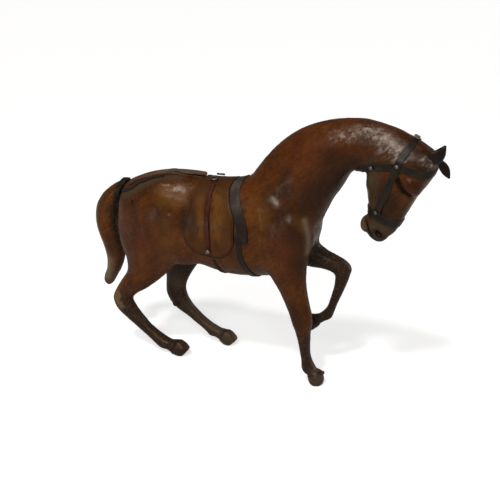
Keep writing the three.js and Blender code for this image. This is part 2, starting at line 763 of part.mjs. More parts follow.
function earGeometry({ line, sideways }) {
  // The leaf stands across the line, a little hollow towards the front
  const rows = smoothed(line.map(sized), 2);
  const turned = new THREE.Vector3(...sideways).normalize();
  const sections = rows.map(([x, y, z, half], i) => {
    const [nextX, nextY, nextZ] = rows[Math.min(i + 1, rows.length - 1)];
    const [lastX, lastY, lastZ] = rows[Math.max(i - 1, 0)];
    const along = new THREE.Vector3(nextX - lastX, nextY - lastY, nextZ - lastZ).normalize();
    const across = turned.clone().addScaledVector(along, -turned.dot(along)).normalize();
    const outwards = new THREE.Vector3().crossVectors(along, across);
    const section = [];
    const sides = 8;
    const thick = earThickness / 2 * Math.min(half / earThickness, 1);
    for (let j = 0; j < sides; j++) {
      const angle = j / sides * 2 * Math.PI;
      const forward = thick * Math.sin(angle) + earHollow * Math.cos(angle) ** 2;
      const place = new THREE.Vector3(x, y, z).addScaledVector(across, half * Math.cos(angle));
      section.push(place.addScaledVector(outwards, forward));
    }
    return section;
  });
  return rings(sections, false);
}

// Studs, rings and the buckle, each set square on the skin

function placeOnSkin(geometry, [x, y, z], lift) {
  const seat = settle(new THREE.Vector3(x, y, z).multiplyScalar(toSize), lift);
  const outwards = slopeAt(seat, skin).slope.normalize();
  geometry.applyQuaternion(new THREE.Quaternion().setFromUnitVectors(new THREE.Vector3(0, 0, 1), outwards));
  geometry.translate(seat.x, seat.y, seat.z);
  return geometry;
}

function dome(radius, height) {
  // A round head: flat below, a short nearly straight rim, then a shallow cone
  const around = 8;
  const profile = [[0, 0], [radius, 0], [radius * 0.95, height / 2], [0, height]];
  const geometry = new THREE.LatheGeometry(profile.map(([x, y]) => new THREE.Vector2(x, y)), around);
  geometry.rotateX(Math.PI / 2);
  return geometry;
}

function wireRing(radius, wire) {
  const aroundWire = 5;
  const aroundRing = 9;
  const geometry = new THREE.TorusGeometry(radius, wire, aroundWire, aroundRing);
  geometry.translate(0, 0, wire);
  return geometry;
}

function buckle(length, breadth, bar) {
  const outline = new THREE.Shape();
  outline.moveTo(-length / 2, -breadth / 2);
  outline.lineTo(length / 2, -breadth / 2);
  outline.lineTo(length / 2, breadth / 2);
  outline.lineTo(-length / 2, breadth / 2);
  outline.closePath();
  const eye = new THREE.Path();
  eye.moveTo(-length / 2 + bar, -breadth / 2 + bar);
  eye.lineTo(-length / 2 + bar, breadth / 2 - bar);
  eye.lineTo(length / 2 - bar, breadth / 2 - bar);
  eye.lineTo(length / 2 - bar, -breadth / 2 + bar);
  eye.closePath();
  outline.holes.push(eye);
  return new THREE.ExtrudeGeometry(outline, { depth: bar, bevelEnabled: false });
}

// Materials

function leather(color, roughness) {
  return new THREE.MeshStandardMaterial({ color, roughness, metalness: 0 });
}

const hide = leather(0x6b3a1e, 0.5);
const darkHide = leather(0x2a1c15, 0.5);
const saddleLeather = leather(0x7a4d26, 0.45);
const strapLeather = leather(0x2b2421, 0.4);
const redLeather = leather(0x45211a, 0.5);
const metal = new THREE.MeshStandardMaterial({ color: 0x8d8a84, roughness: 0.35, metalness: 0.9 });

// Assembly

const horse = new THREE.Group();

function add(name, geometry, material) {
  const mesh = new THREE.Mesh(geometry, material);
  mesh.name = name;
  horse.add(mesh);
}

const ground = new THREE.BoxGeometry(2 * horseHeight, horseHeight, horseHeight);
const floorCut = toSolid(ground.translate(0, 0, soleLevel - horseHeight / 2));
const joined = joinedLimbs();
let body = toSolid(settleAll(joined, 0)).subtract(floorCut);
for (const cut of cuts) {
  const opening = sizedLump({ ...cut, soft: 0 });
  body = body.subtract(ellipsoid(opening)).subtract(ellipsoid(mirrored(opening)));
}
add('horse_body', toGeometry(body), hide);

const cleared = toSolid(settleAll(joined, rootClearance));
add('tail', toGeometry(toSolid(limbGeometry(tailForm)).subtract(cleared)), hide);
for (const [name, ear] of [['ear_right', earRight], ['ear_left', earLeft]]) {
  add(name, toGeometry(toSolid(earGeometry(ear)).subtract(cleared)), darkHide);
}

add('saddle', saddleGeometry(), saddleLeather);
add('surcingle', strap(acrossMiddle(surcinglePoints), { width: surcingleWidth }), strapLeather);
add('girth_front', strap(acrossMiddle(frontGirthPoints), { width: frontGirthWidth }), strapLeather);
add('girth_rear', strap(acrossMiddle(rearGirthPoints), { width: rearGirthWidth }), strapLeather);
add('crupper_strap', strap(crupperPoints, {
  width: crupperWidth, rearWidth: crupperRearWidth, step: crupperStep,
}), strapLeather);
add('crupper_tongue', tongueGeometry(), strapLeather);
add('crupper_dock', strap(bothSides(dockPoints), {
  width: dockWidth,
  thickness: dockThickness,
  closed: true,
  field: dockSkin,
  base: dockLift,
  step: headStep,
}), strapLeather);

add('bridle_crown', strap(acrossMiddle(crownPoints), { width: bridleWidth, step: headStep }), strapLeather);
add('bridle_browband', strap(bothSides(browbandPoints), {
  width: browbandWidth, closed: true, step: headStep,
}), strapLeather);
add('bridle_noseband', strap(bothSides(nosebandPoints), {
  width: nosebandWidth, closed: true, step: headStep,
}), strapLeather);

const onSaddle = underSaddle + saddleThickness;
const onStrap = clearance + strapThickness + clearance;
const onStirrupLeather = onSaddle + onStrap;
const onTwoStraps = onStrap + strapThickness + clearance;
for (const [side, name] of [[1, 'right'], [-1, 'left']]) {
  const points = side === 1 ? stirrupPoints : flipped(stirrupPoints);
  const fork = side === 1 ? forkPoints : flipped(forkPoints);
  add(`crupper_fork_${name}`, strap(fork, {
    width: forkWidth, base: clearance, step: crupperStep,
  }), strapLeather);
  add(`stirrup_leather_${name}`, strap(points, { width: stirrupLeatherWidth, base: onSaddle }), redLeather);
  const studs = [
    ['stirrup_stud', studRadius, studHeight, [-46, -41 * side, 165], onStirrupLeather],
    ['brow_stud', smallStudRadius, smallStudHeight, [176, -21.5 * side, 289], onTwoStraps],
    ['nose_stud', smallStudRadius, smallStudHeight, [155.5, -15.5 * side, 234], onTwoStraps],
    ['throat_stud', smallStudRadius, smallStudHeight, [147, -19.5 * side, 286], onStrap + clearance / 2],
  ];
  for (const [stud, radius, height, at, lift] of studs) {
    add(`${stud}_${name}`, placeOnSkin(dome(radius, height), at, lift), metal);
  }
  const ring = placeOnSkin(wireRing(ringRadius, ringWire), [-53, -9 * side, 246], onSaddle + clearance);
  add(`saddle_ring_${name}`, ring, metal);
}
const crownBuckle = buckle(buckleLength, buckleBreadth, buckleBar);
add('crown_buckle', placeOnSkin(crownBuckle, [190.5, -3, 318], onStrap), metal);

// The middle of the horse's footprint is over the origin
const box = new THREE.Box3().setFromObject(horse);
horse.position.set(-(box.min.x + box.max.x) / 2, -(box.min.y + box.max.y) / 2, -soleLevel);

export default horse;
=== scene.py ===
"""The looks of a leather horse: it stands with one foreleg raised, in saddle, crupper and bridle.

Shapes are worked out in millimetres on the horse's own drawing, whose floor is at FLOOR_LEVEL,
and go into the scene in metres through in_frame.
"""

import bpy
import numpy as np
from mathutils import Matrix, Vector

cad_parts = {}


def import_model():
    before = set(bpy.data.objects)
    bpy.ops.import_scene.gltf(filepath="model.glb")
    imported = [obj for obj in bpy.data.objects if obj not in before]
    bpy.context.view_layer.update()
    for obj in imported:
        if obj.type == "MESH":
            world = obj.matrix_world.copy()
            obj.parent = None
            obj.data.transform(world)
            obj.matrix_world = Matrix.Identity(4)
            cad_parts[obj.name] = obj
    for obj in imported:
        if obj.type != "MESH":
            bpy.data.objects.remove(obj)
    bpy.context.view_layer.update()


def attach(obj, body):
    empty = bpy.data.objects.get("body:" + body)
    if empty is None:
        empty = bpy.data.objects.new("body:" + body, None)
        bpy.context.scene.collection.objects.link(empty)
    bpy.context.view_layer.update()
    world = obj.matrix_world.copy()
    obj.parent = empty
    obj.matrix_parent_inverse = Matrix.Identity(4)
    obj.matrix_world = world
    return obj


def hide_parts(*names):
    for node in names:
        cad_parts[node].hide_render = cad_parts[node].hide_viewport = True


# Places and sizes in the drawing, in millimetres
HORSE_HEIGHT = 335.0
FLOOR_LEVEL = 1.0
FRAME_SHIFT = np.array([3.85, 0.0, -FLOOR_LEVEL])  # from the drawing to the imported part
MILLIMETRE = 0.001

CLEARANCE = 0.6  # between the skin, or one strap, and what lies on it
SINK = 1.1  # how far the underside of a strap reaches below its own seat, so that no gap shows
STRAP_THICKNESS = 1.3  # of the layers beneath a strap
STRAP_FACE = 0.8  # from a strap's seat to its worn face
SADDLE_THICKNESS = 1.5
SADDLE_FACE = 1.1
SURCINGLE_WIDTH = 13.0
FRONT_GIRTH_WIDTH = 7.5
REAR_GIRTH_WIDTH = 4.0
STIRRUP_LEATHER_WIDTH = 6.5
CRUPPER_WIDTH = 12.0  # under the saddle
CRUPPER_REAR_WIDTH = 44.0  # over the tail
FORK_WIDTH = 5.0
DOCK_WIDTH = 9.0
DOCK_THICKNESS = 2.6
DOCK_LIFT = 0.9
TONGUE_THICKNESS = 1.8
TONGUE_WIDTH = 19.0
BRIDLE_WIDTH = 8.0
BROWBAND_WIDTH = 8.5
NOSEBAND_WIDTH = 9.5
SEAM = 1.2
STUD_RADIUS = 3.1
STUD_HEIGHT = 1.9
SMALL_STUD_RADIUS = 2.3
SMALL_STUD_HEIGHT = 1.4
BUCKLE_LENGTH = 7.0
BUCKLE_BREADTH = 7.5
BUCKLE_BAR = 1.3
RING_RADIUS = 4.2
RING_WIRE = 1.3
EAR_THICKNESS = 3.0
EAR_HOLLOW = 1.6

# Reach and fineness of the grids on which the skin is worked out
GRID_X = (-212, 236)
GRID_Y = (-50, 50, 71)  # from, to and the number of lines
GRID_Z = (-3, 342)
COARSE_STEP = 2.0
FINE_STEP = 1.3
FINE_X = (133.0, 232.0)  # the head
FINE_Z = (192.0, 322.0)
TAIL_GRID = (np.arange(-244, -180, 1.5), np.linspace(-22, 22, 31), np.arange(66, 238, 1.7))
DOCK_SPACE = ((-np.inf, -150), (-np.inf, np.inf), (170, 260))  # the part of the grid around the dock
STRAP_STEP = 1.6

# Stations of the limbs. Each is one rib of the side view: x and z of its top or front edge,
# x and z of its bottom or back edge, half of its width, and how far it sits to the horse's left.
TRUNK = [
    [-193, 216, -190, 206, 4, 0],  # dock
    [-189, 224, -186, 188, 15, 0],
    [-180, 231, -178, 166, 27, 0],  # point of the buttock
    [-165, 238, -163, 150, 34.5, 0],
    [-145, 245, -143, 141, 38.5, 0],  # croup
    [-122, 249, -119, 139, 39.5, 0],
    [-98, 249.5, -96, 138, 38.5, 0],  # loin
    [-74, 247, -71, 132, 39.5, 0],
    [-50, 246.5, -47, 127, 41, 0],  # middle of the back
    [-25, 248.5, -22, 125, 41, 0],
    [0, 248.5, 2, 127, 39, 0],  # withers
    [24, 243, 27, 132, 36.5, 0],
    [46, 232, 48, 141, 34, 0],  # shoulder
    [61, 219, 60, 153, 30, 0],
    [72, 207, 70.5, 168, 20, 0],  # breast
    [76.5, 196, 75.5, 180, 9, 0],
]
NECK = [
    [-40, 235, 28, 152, 20, 0],  # inside the trunk
    [-12, 250, 74, 186, 30, 0],  # withers to breast
    [5, 271, 82.5, 204, 31, 0],
    [27, 296, 91, 221, 30, 0],
    [51, 315, 99.5, 239, 27.5, 0],
    [77, 327, 109, 254, 25, 0],  # middle of the neck
    [104, 333.5, 116, 268, 23, 0],
    [130, 335, 125, 276, 22, 0],  # throat
    [155, 331, 138, 275, 21.5, 0],
    [178, 323.5, 152, 271, 21, 0],  # poll
    [196, 314, 166, 268, 19, 0],
    [208, 303, 180, 266, 15, 0],
    [212, 292, 192, 266, 9, 0],
]
HEAD = [
    [211, 304, 190, 312, 7, 0],  # poll
    [216, 294, 176, 305, 15, 0],  # forehead
    [215, 283, 163, 297, 19.5, 0],
    [210, 271, 147, 284, 22, 0],  # eye and cheek
    [203, 260, 138, 269, 22.5, 0],
    [197, 251, 138.5, 254, 21, 0],
    [191.5, 240, 140.5, 241, 18.5, 0],
    [186.5, 229.5, 141.5, 231, 16, 0],  # chin groove
    [181, 218.5, 140.5, 221, 14.5, 0],
    [175, 208, 139.5, 212, 14.5, 0],  # nostril
    [168.5, 201.5, 140.5, 205.5, 14, 0],
    [161.5, 196.8, 144, 200.5, 11.5, 0],  # lips
    [155.5, 195.2, 148, 197.5, 5, 0],
]
RIGHT_FORELEG = [
    [70, 205, 10, 215, 12, -17],  # inside the shoulder
    [79, 188, 8, 192, 17, -18],
    [79, 172, 12, 168, 18.5, -19],  # elbow
    [75, 154, 22, 149, 17.5, -21],
    [75, 138, 30, 137, 16, -22.5],  # forearm
    [77.5, 122, 40.5, 122, 14.5, -23.5],
    [81, 107, 49, 107, 12.7, -24.5],
    [85, 93, 55, 92, 11.7, -25],  # above the knee
    [85.7, 82, 59.5, 80, 11.7, -25],  # knee
    [84, 70, 64, 69, 10, -25],
    [84, 55, 68, 53, 8.6, -25],  # cannon
    [84.5, 41, 71, 40, 8, -25],
    [87, 31.5, 73, 29, 8.6, -25],
    [90, 25.5, 74, 20, 8.6, -25],  # fetlock
    [94, 21, 78, 14, 8.2, -25],  # pastern
    [100, 20, 81, 12, 9.4, -25],  # coronet
    [103, 13, 82, 7.5, 10.3, -25],
    [103.5, 6, 83.5, 3.5, 10.3, -25],  # hoof
    [101, -1, 86, -1, 8.5, -25],  # sole
]
LEFT_FORELEG = [
    [56, 205, 10, 200, 12, 17],  # inside the shoulder
    [66, 190, 14, 170, 16, 18],
    [71, 176, 36, 146, 16, 20],  # elbow
    [85, 164, 62, 139.5, 14.5, 23],  # forearm
    [102, 156, 82, 138, 12.5, 25],
    [112, 150, 93, 134.5, 11.5, 26],
    [118.3, 142, 96.5, 131, 11, 26],  # knee
    [116.5, 132, 97, 126.5, 10.5, 26],
    [113, 120, 96, 117, 9, 26],  # cannon
    [108, 106, 93, 104, 8, 26],
    [103, 93, 90, 93.5, 7.6, 26],
    [98.5, 80, 87, 85, 8, 26],
    [94.5, 70.5, 81, 77, 8.5, 26],  # fetlock
    [87, 65, 75.5, 73, 7.8, 26],  # pastern
    [81, 59.5, 70, 71.5, 8.8, 26],  # coronet
    [74, 51, 61, 68, 10.2, 26],  # hoof
    [67, 46.5, 55, 62, 10, 26],
    [63, 46.5, 53.5, 58, 8, 26],  # toe
]
RIGHT_HINDLEG = [
    [-108, 235, -160, 232, 14, -15],  # inside the croup
    [-95, 205, -183, 213, 22, -17],
    [-88, 172, -190.5, 180, 22.5, -19],  # thigh
    [-92, 148, -187.5, 152, 20.5, -20.5],  # stifle
    [-107, 128, -179, 131, 17, -22],
    [-128, 107, -177.5, 114, 14, -24],  # gaskin
    [-146, 92, -187, 99, 11.7, -25],
    [-163, 81, -196, 85, 10.2, -25],  # above the hock
    [-172, 71, -202.5, 70, 10, -25],  # hock
    [-167.5, 61.5, -197, 54.5, 9.6, -25],
    [-160, 52, -181, 41, 8.6, -25],  # cannon
    [-150, 41, -164, 29.5, 8, -25],
    [-137, 31, -150, 20, 8, -25],
    [-126, 24, -138.5, 11.5, 8.6, -25],  # fetlock
    [-118, 21, -128.5, 5.5, 8.8, -25],
    [-111, 21, -120.5, 4.5, 8.3, -25],  # pastern
    [-104, 22.5, -114.5, 1.5, 9.3, -25],  # coronet
    [-96, 21, -108.5, -2, 10.2, -25],  # hoof
    [-89, 15, -102, -2.5, 9.6, -25],
    [-87.5, 12.5, -99.5, -2, 7.5, -25],  # toe
]
LEFT_HINDLEG = [
    [-108, 235, -160, 232, 14, 15],  # inside the croup
    [-93, 205, -183, 213, 22, 17],
    [-80, 172, -186, 180, 22.5, 19],  # thigh
    [-77, 148, -176, 152, 20.5, 21.5],  # stifle
    [-88, 128, -163, 131, 17, 24],
    [-103, 108, -153, 110, 14, 26.5],  # gaskin
    [-113, 92, -148.5, 94, 11.7, 28],
    [-118.5, 77, -149.5, 77, 10.2, 28.5],  # above the hock
    [-116.5, 64, -148.5, 62, 10, 28.5],  # hock
    [-109, 52, -138, 47, 9.4, 28.5],
    [-100, 43.5, -117, 34.5, 8.5, 28.5],  # cannon
    [-90, 35, -102, 24.5, 8, 28.5],
    [-78, 27.5, -89, 16.5, 8, 28.5],  # fetlock
    [-70, 24, -81, 9.8, 8.6, 28.5],
    [-64, 22.5, -74, 8.5, 8.3, 28.5],  # pastern
    [-57, 22.7, -67.5, 5.5, 9.3, 28.5],  # coronet
    [-49.5, 21.5, -62, -1, 10.2, 28.5],  # hoof
    [-42, 14, -55.5, -2, 9.6, 28.5],
    [-40.5, 11.5, -53, -1.5, 7.5, 28.5],  # toe
]
TAIL = [
    [-186, 230, -182, 212, 7, 0],  # dock
    [-198, 228, -193, 209, 9.5, 0],
    [-211, 221, -199, 201, 11.5, 0],
    [-225, 208.5, -202, 192, 13, 0],  # top of the bend
    [-234.5, 193, -203, 183, 14.5, 0],
    [-237.5, 177, -204, 173.5, 15.5, 0],
    [-236.5, 161, -205.5, 163, 15.5, 0],  # widest
    [-232, 146, -202, 149, 14.5, 0],
    [-227, 130, -198, 132, 13, 0],
    [-224.5, 115, -199, 117, 11.5, 0],
    [-226, 101, -205, 101.5, 10, 0],
    [-231, 90, -213, 88, 8.5, 0],
    [-233, 80, -219, 78, 6.5, 0],
    [-229, 74, -224, 73.5, 3, 0],  # tip
]
# Squareness of each limb's section, its taper towards the upper edge, how far its edges are
# pulled in, and how softly it runs into the rest
LIMBS = [
    (TRUNK, 2.25, 0.1, 0.0, 1.0),
    (NECK, 2.2, 0.16, 0.0, 14.0),
    (HEAD, 2.5, -0.05, 0.8, 9.0),
    (RIGHT_FORELEG, 2.15, 0.0, 0.8, 10.0),
    (LEFT_FORELEG, 2.15, 0.0, 0.8, 10.0),
    (RIGHT_HINDLEG, 2.15, 0.0, 0.8, 12.0),
    (LEFT_HINDLEG, 2.15, 0.0, 0.8, 12.0),
]
TAIL_LIMB = (TAIL, 2.1, 0.0, 0.4, 5.0)

# Muscles and carving as ellipsoids on both sides: centre, radii, tilt in degrees in the side
# view, how softly each runs into the body, and 1 where it adds or -1 where it carves
CHIN = ((142.5, 0, 213.5), (9.5, 8.5, 11.5), -20, 4, 1)
CARVING = [
    ((52, 22, 196), (24, 15, 34), -18, 14, 1),  # shoulder
    ((59, 17, 187), (14, 13, 20), 0, 12, 1),  # breast
    ((-118, 22, 196), (32, 18, 44), 8, 16, 1),  # haunch
    ((-92, 24, 158), (22, 17, 24), 30, 14, 1),  # stifle
    ((160, 11, 268), (19, 13, 19), 0, 7, 1),  # cheek
    ((190, 12, 268), (14, 11, 10), -50, 4, 1),  # eye mound
    ((178, 22, 243), (7, 6, 20), -25, 6, -1),  # hollow before the cheek
    ((158, 10, 204), (9, 8, 8), 0, 4, 1),  # nostril mound
    ((12, 40, 222), (7, 6, 26), 20, 10, -1),  # behind the shoulder
]

# Finer carving, which only the skin of this scene has
FINE_CARVING = [
    ((190.5, 19.5, 268.5), (9.5, 4.8, 6.6), -52, 2.4, 1),  # the closed lid
    ((158.3, 16.8, 206.8), (5.2, 4.6, 3.2), -42, 1.2, -1),  # nostril
    ((-156.7, 39.5, 213.5), (2.4, 6.0, 2.2), 0, 0.8, -1),  # hole in the haunch
]

# Routes of the straps on the right side: x, y, z near the skin, and the layers of strap beneath
SURCINGLE = [
    (-2, -40, 182, 1.05), (-2, -40, 192, 1), (-5, -38, 205, 0.2), (-10, -36, 217, 0), (-16, -30, 231, 0),
    (-19.5, -20, 243, 0), (-17.5, 0, 252, 0),
]
FRONT_GIRTH = [
    (-8, -41, 192), (-7, -40, 176), (-5, -38, 159), (-1, -32, 146), (4, -19, 134), (6, 0, 126),
]
REAR_GIRTH = [
    (-41.5, -38, 151.5), (-40, -32, 141), (-38, -20, 131), (-37, 0, 126),
]
STIRRUP_LEATHER = [
    (-50, -17, 243), (-50, -29, 227), (-49, -36, 208), (-47.5, -40, 190), (-46.5, -41, 170),
]
CRUPPER = [
    (-71, 0, 247), (-90, 0, 249), (-110, 0, 249), (-130, 0, 248), (-149, 0, 243), (-165, 0, 238),
    (-177, 0, 233),
]
# The black fork straps run along the crupper strap's lower edge, where they also stand for the shade
# beneath that edge
FORK = [
    (-120, -17, 246.5), (-136, -20.2, 242), (-152, -23, 236), (-166, -25.2, 227), (-177, -21.5, 223),
    (-184, -16, 221),
]
DOCK = [
    (-188, 0, 231), (-189.5, -10, 227), (-193.5, -14, 217.5), (-197, -9, 207), (-197, 0, 203),
]
CROWN = [
    (156, -15, 230, 1.05), (157, -16, 238, 1), (164, -21, 256, 0.1), (170, -22, 273, 0),
    (174.5, -21, 284, 1), (177.5, -21, 294, 1), (182, -18, 303, 0.1), (189, -10, 314, 0), (192, 0, 318, 0),
]
BROWBAND = [
    (214, 0, 283), (206, -17, 281), (193, -21, 284.5), (177, -22, 288), (157, -21, 287), (142, -18, 285),
    (131, -9, 280), (128, 0, 279),
]
NOSEBAND = [
    (182, 0, 219), (174, -13, 221), (165, -15, 224), (155, -15, 228), (146, -12, 230.5), (138, 0, 233),
]

RIBS_PER_SPAN = 4
FAR = 60.0  # the distance given to places that nothing is near
MARGIN = 24.0  # how far around a limb or ellipsoid its distances are worked out
SETTLING_ROUNDS = 6  # of full steps that carry a strap's points to their height
LEAST_STEEPNESS = 0.15  # taken where the distances hardly change
SURFACE_ROUNDS = 2  # of shorter steps that carry the skin's own points onto it
LEAST_SURFACE_STEEPNESS = 0.3
SURFACE_STEP = 0.8
RELIEF_DEPTH = 5.0  # how far from the skin its relief is worked out
SAMPLES_PER_SPAN = 24
HALVINGS = 22
WAVE_GAIN = 1.6  # brings the mean of several waves near to 1 at its highest


# Curves and distances

def smoothed(rows, per_span):
    """The rows with per_span - 1 more on each span: a cubic through four neighbours (Catmull-Rom)."""
    rows = np.asarray(rows, float)
    ends = np.vstack([2 * rows[0] - rows[1], rows, 2 * rows[-1] - rows[-2]])
    before, here, after, beyond = (ends[i:len(ends) - 3 + i, None] for i in range(4))
    share = (np.arange(per_span) / per_span)[None, :, None]
    cubic = 0.5 * (
        2 * here
        + (after - before) * share
        + (2 * before - 5 * here + 4 * after - beyond) * share ** 2
        + (3 * here - before - 3 * after + beyond) * share ** 3
    )
    return np.vstack([cubic.reshape(-1, rows.shape[1]), rows[-1:]])


def smooth_min(first, second, soft):
    """The smaller of two distances, less soft / 4 where they are equal, fading out over soft."""
    near = np.maximum(soft - np.abs(first - second), 0) / soft
    return np.minimum(first, second) - near * near * soft / 4


class Limb:
    """Ribs of a limb and the distance from them: a superellipse across each rib, with the ribs
    between two stations mixed in proportion, and bands that swell or draw in the limb."""

    adds = 1

    def __init__(self, stations, square, taper, trim, soft, bands=()):
        rows = smoothed(stations, RIBS_PER_SPAN)
        upper, lower = rows[:, 0:2], rows[:, 2:4]
        span = upper - lower
        length = np.linalg.norm(span, axis=1)
        self.middle = (upper + lower) / 2
        self.reach = length / 2 - trim
        self.up = span / length[:, None]
        self.half_width = np.maximum(rows[:, 4], 0.5)
        self.side = rows[:, 5]
        self.square, self.taper, self.soft, self.bands = square, taper, soft, bands
        across = np.stack([self.up[:, 1], -self.up[:, 0]], 1)
        steps = np.diff(self.middle, axis=0)
        steps = np.vstack([steps, steps[-1:]])
        sign = np.where((across * steps).sum(1) < 0, -1.0, 1.0)
        self.along = across * sign[:, None]
        edges = np.vstack([upper, lower])
        inner, outer = (self.side - self.half_width).min(), (self.side + self.half_width).max()
        self.lowest = np.array([edges[:, 0].min(), inner, edges[:, 1].min()]) - MARGIN
        self.highest = np.array([edges[:, 0].max(), outer, edges[:, 1].max()]) + MARGIN

    def flat(self, x, z):
        """For side-view places: offset along the nearest rib, its reach, half width and side,
        how far the place is past the limb's end, and its station number along the limb."""
        shape = x.shape
        x, z = x.ravel(), z.ravel()
        found = np.zeros((6, len(x)))
        found[:5] = np.array([100.0, 1.0, 1.0, 0.0, 50.0])[:, None]
        best = np.full(len(x), np.inf)
        beyond = [
            (x - cx) * ax + (z - cz) * az
            for (cx, cz), (ax, az) in zip(self.middle, self.along)
        ]
        ribs = np.column_stack([self.middle, self.up, self.reach, self.half_width, self.side])
        last = len(ribs) - 1
        for index in range(-1, last + 1):
            if index == -1:
                here = np.flatnonzero(beyond[0] < 0)
                rib, past, place = ribs[:1], -beyond[0][here], np.zeros(len(here))
            elif index == last:
                here = np.flatnonzero(beyond[last] >= 0)
                rib, past, place = ribs[-1:], beyond[last][here], np.full(len(here), float(last))
            else:
                here = np.flatnonzero((beyond[index] >= 0) & (beyond[index + 1] < 0))
                ahead, behind = beyond[index][here], beyond[index + 1][here]
                share = ahead / np.maximum(ahead - behind, 1e-9)
                rib = ribs[index] + (ribs[index + 1] - ribs[index]) * share[:, None]
                past, place = np.zeros(len(here)), index + share
            length = np.hypot(rib[:, 2], rib[:, 3])
            offset = ((x[here] - rib[:, 0]) * rib[:, 2] + (z[here] - rib[:, 1]) * rib[:, 3]) / length
            outside = np.maximum(np.abs(offset) - rib[:, 4], 0)
            cost = outside ** 2 + past ** 2 + np.abs(offset) / rib[:, 4] * 1e-3
            closer = cost < best[here]
            chosen = here[closer]
            best[chosen] = cost[closer]
            rib = np.broadcast_to(rib, (len(here), ribs.shape[1]))[closer]
            found[:, chosen] = [
                offset[closer], rib[:, 4], rib[:, 5], rib[:, 6], past[closer],
                place[closer] / RIBS_PER_SPAN,
            ]
        return found.reshape((6,) + shape)

    def distance(self, flat, y):
        """Distance from the superellipse |offset / reach| ^ n + |aside / width| ^ n = 1."""
        offset, reach, half_width, side, past, place = flat
        share = offset / reach
        aside = y - side
        narrowing = 1 - self.taper * np.clip(share, -1, 1)
        fraction = (
            np.abs(share) ** self.square
            + np.abs(aside / half_width / narrowing) ** self.square
        ) ** (1 / self.square)
        radial = np.hypot(offset, aside) * (1 - 1 / np.maximum(fraction, 1e-4))
        radial = np.where(fraction < 0.02, -np.minimum(reach, half_width), radial)
        for station, width, height in self.bands:
            radial = radial - height * np.exp(-((place - station) / width) ** 2)
        return np.where(past > 0, np.hypot(np.maximum(radial, 0), past), radial)


class Lump:
    """An ellipsoid turned in the side view, that adds to the skin or carves it."""

    def __init__(self, centre, radii, tilt, soft, adds, side=1):
        self.centre = np.array(centre, float) * (1, side, 1)
        self.radii = np.array(radii, float)
        self.turn = np.radians(tilt)
        self.soft, self.adds = soft, adds
        reach = max(radii) + MARGIN
        self.lowest, self.highest = self.centre - reach, self.centre + reach

    def distance(self, x, y, z):
        """Size times (size - 1) over its slope, where size is 1 on the ellipsoid."""
        dx, dy, dz = x - self.centre[0], y - self.centre[1], z - self.centre[2]
        local = (
            dx * np.cos(self.turn) + dz * np.sin(self.turn),
            dy,
            dz * np.cos(self.turn) - dx * np.sin(self.turn),
        )
        size = np.sqrt(sum((value / radius) ** 2 for value, radius in zip(local, self.radii)))
        slope = np.sqrt(sum((value / radius ** 2) ** 2 for value, radius in zip(local, self.radii)))
        return size * (size - 1) / np.maximum(slope, 1e-6)


def spaced(low, high, fine, coarse_step, fine_step):
    """Grid lines from low to high, close together inside the fine range."""
    first, last = max(low, fine[0]), min(high, fine[1])
    runs = [
        np.linspace(start, end, max(int(round((end - start) / step)), 1) + 1)
        for start, end, step in (
            (low, first, coarse_step), (first, last, fine_step), (last, high, coarse_step),
        )
        if end > start
    ]
    return np.unique(np.concatenate(runs).round(6))


class Skin:
    """Distances from a skin on a grid, and their slopes, both mixed linearly between places."""

    def __init__(self, axes, values):
        self.axes = axes
        self.values = values
        self.slopes = np.stack(np.gradient(values, *axes), -1)

    def read(self, table, points):
        index, share = [], []
        for axis, place in zip(self.axes, points.reshape(-1, 3).T):
            cell = np.clip(np.searchsorted(axis, place) - 1, 0, len(axis) - 2)
            index.append(cell)
            share.append(np.clip((place - axis[cell]) / (axis[cell + 1] - axis[cell]), 0, 1))
        total = 0
        for corner in np.ndindex(2, 2, 2):
            weight = 1
            for one, part in zip(corner, share):
                weight = weight * (part if one else 1 - part)
            value = table[tuple(cell + one for cell, one in zip(index, corner))]
            total = total + (value * weight if value.ndim == 1 else value * weight[:, None])
        return total.reshape(points.shape[:-1] + table.shape[3:])

    def distance(self, points):
        return self.read(self.values, points)

    def outwards(self, points):
        slope = self.read(self.slopes, points)
        return slope / np.maximum(np.linalg.norm(slope, axis=-1, keepdims=True), 1e-6)

    def settled(self, points, lift):
        """Points moved straight in or out until each is its lift above the skin: Newton's steps."""
        points = np.array(points, float)
        for _ in range(SETTLING_ROUNDS):
            slope = self.read(self.slopes, points)
            steepness = np.maximum((slope ** 2).sum(-1), LEAST_STEEPNESS)
            short = (lift - self.distance(points)) / steepness
            points = points + slope * short[..., None]
        return points


def blend(values, forms, axes):
    """Distances on a grid with each form blended in, in turn: the soft smaller of both where it
    adds, and the same with its sign turned where it carves."""
    for form in forms:
        window = tuple(
            slice(*np.searchsorted(axis, (low, high)))
            for axis, low, high in zip(axes, form.lowest, form.highest)
        )
        x, y, z = (axis[part] for axis, part in zip(axes, window))
        if isinstance(form, Limb):
            flat = form.flat(*np.meshgrid(x, z, indexing="ij"))
            gap = form.distance(flat[:, :, None, :], y[None, :, None])
        else:
            gap = form.distance(x[:, None, None], y[None, :, None], z[None, None, :])
        values[window] = form.adds * smooth_min(form.adds * values[window], gap, form.soft)
    return values


def blended(forms, axes):
    return blend(np.full([len(axis) for axis in axes], FAR), forms, axes)


def uneven(points, size, seed, waves=9):
    """A gentle unevenness from -1 to 1: the mean of sine waves of about one size, in directions
    drawn from the seed."""
    draw = np.random.default_rng(seed)
    total = 0
    for _ in range(waves):
        direction = draw.normal(size=3)
        direction *= 2 * np.pi / size * draw.uniform(0.7, 1.4) / np.linalg.norm(direction)
        total = total + np.sin(points @ direction + draw.uniform(0, 2 * np.pi))
    return total / waves * WAVE_GAIN


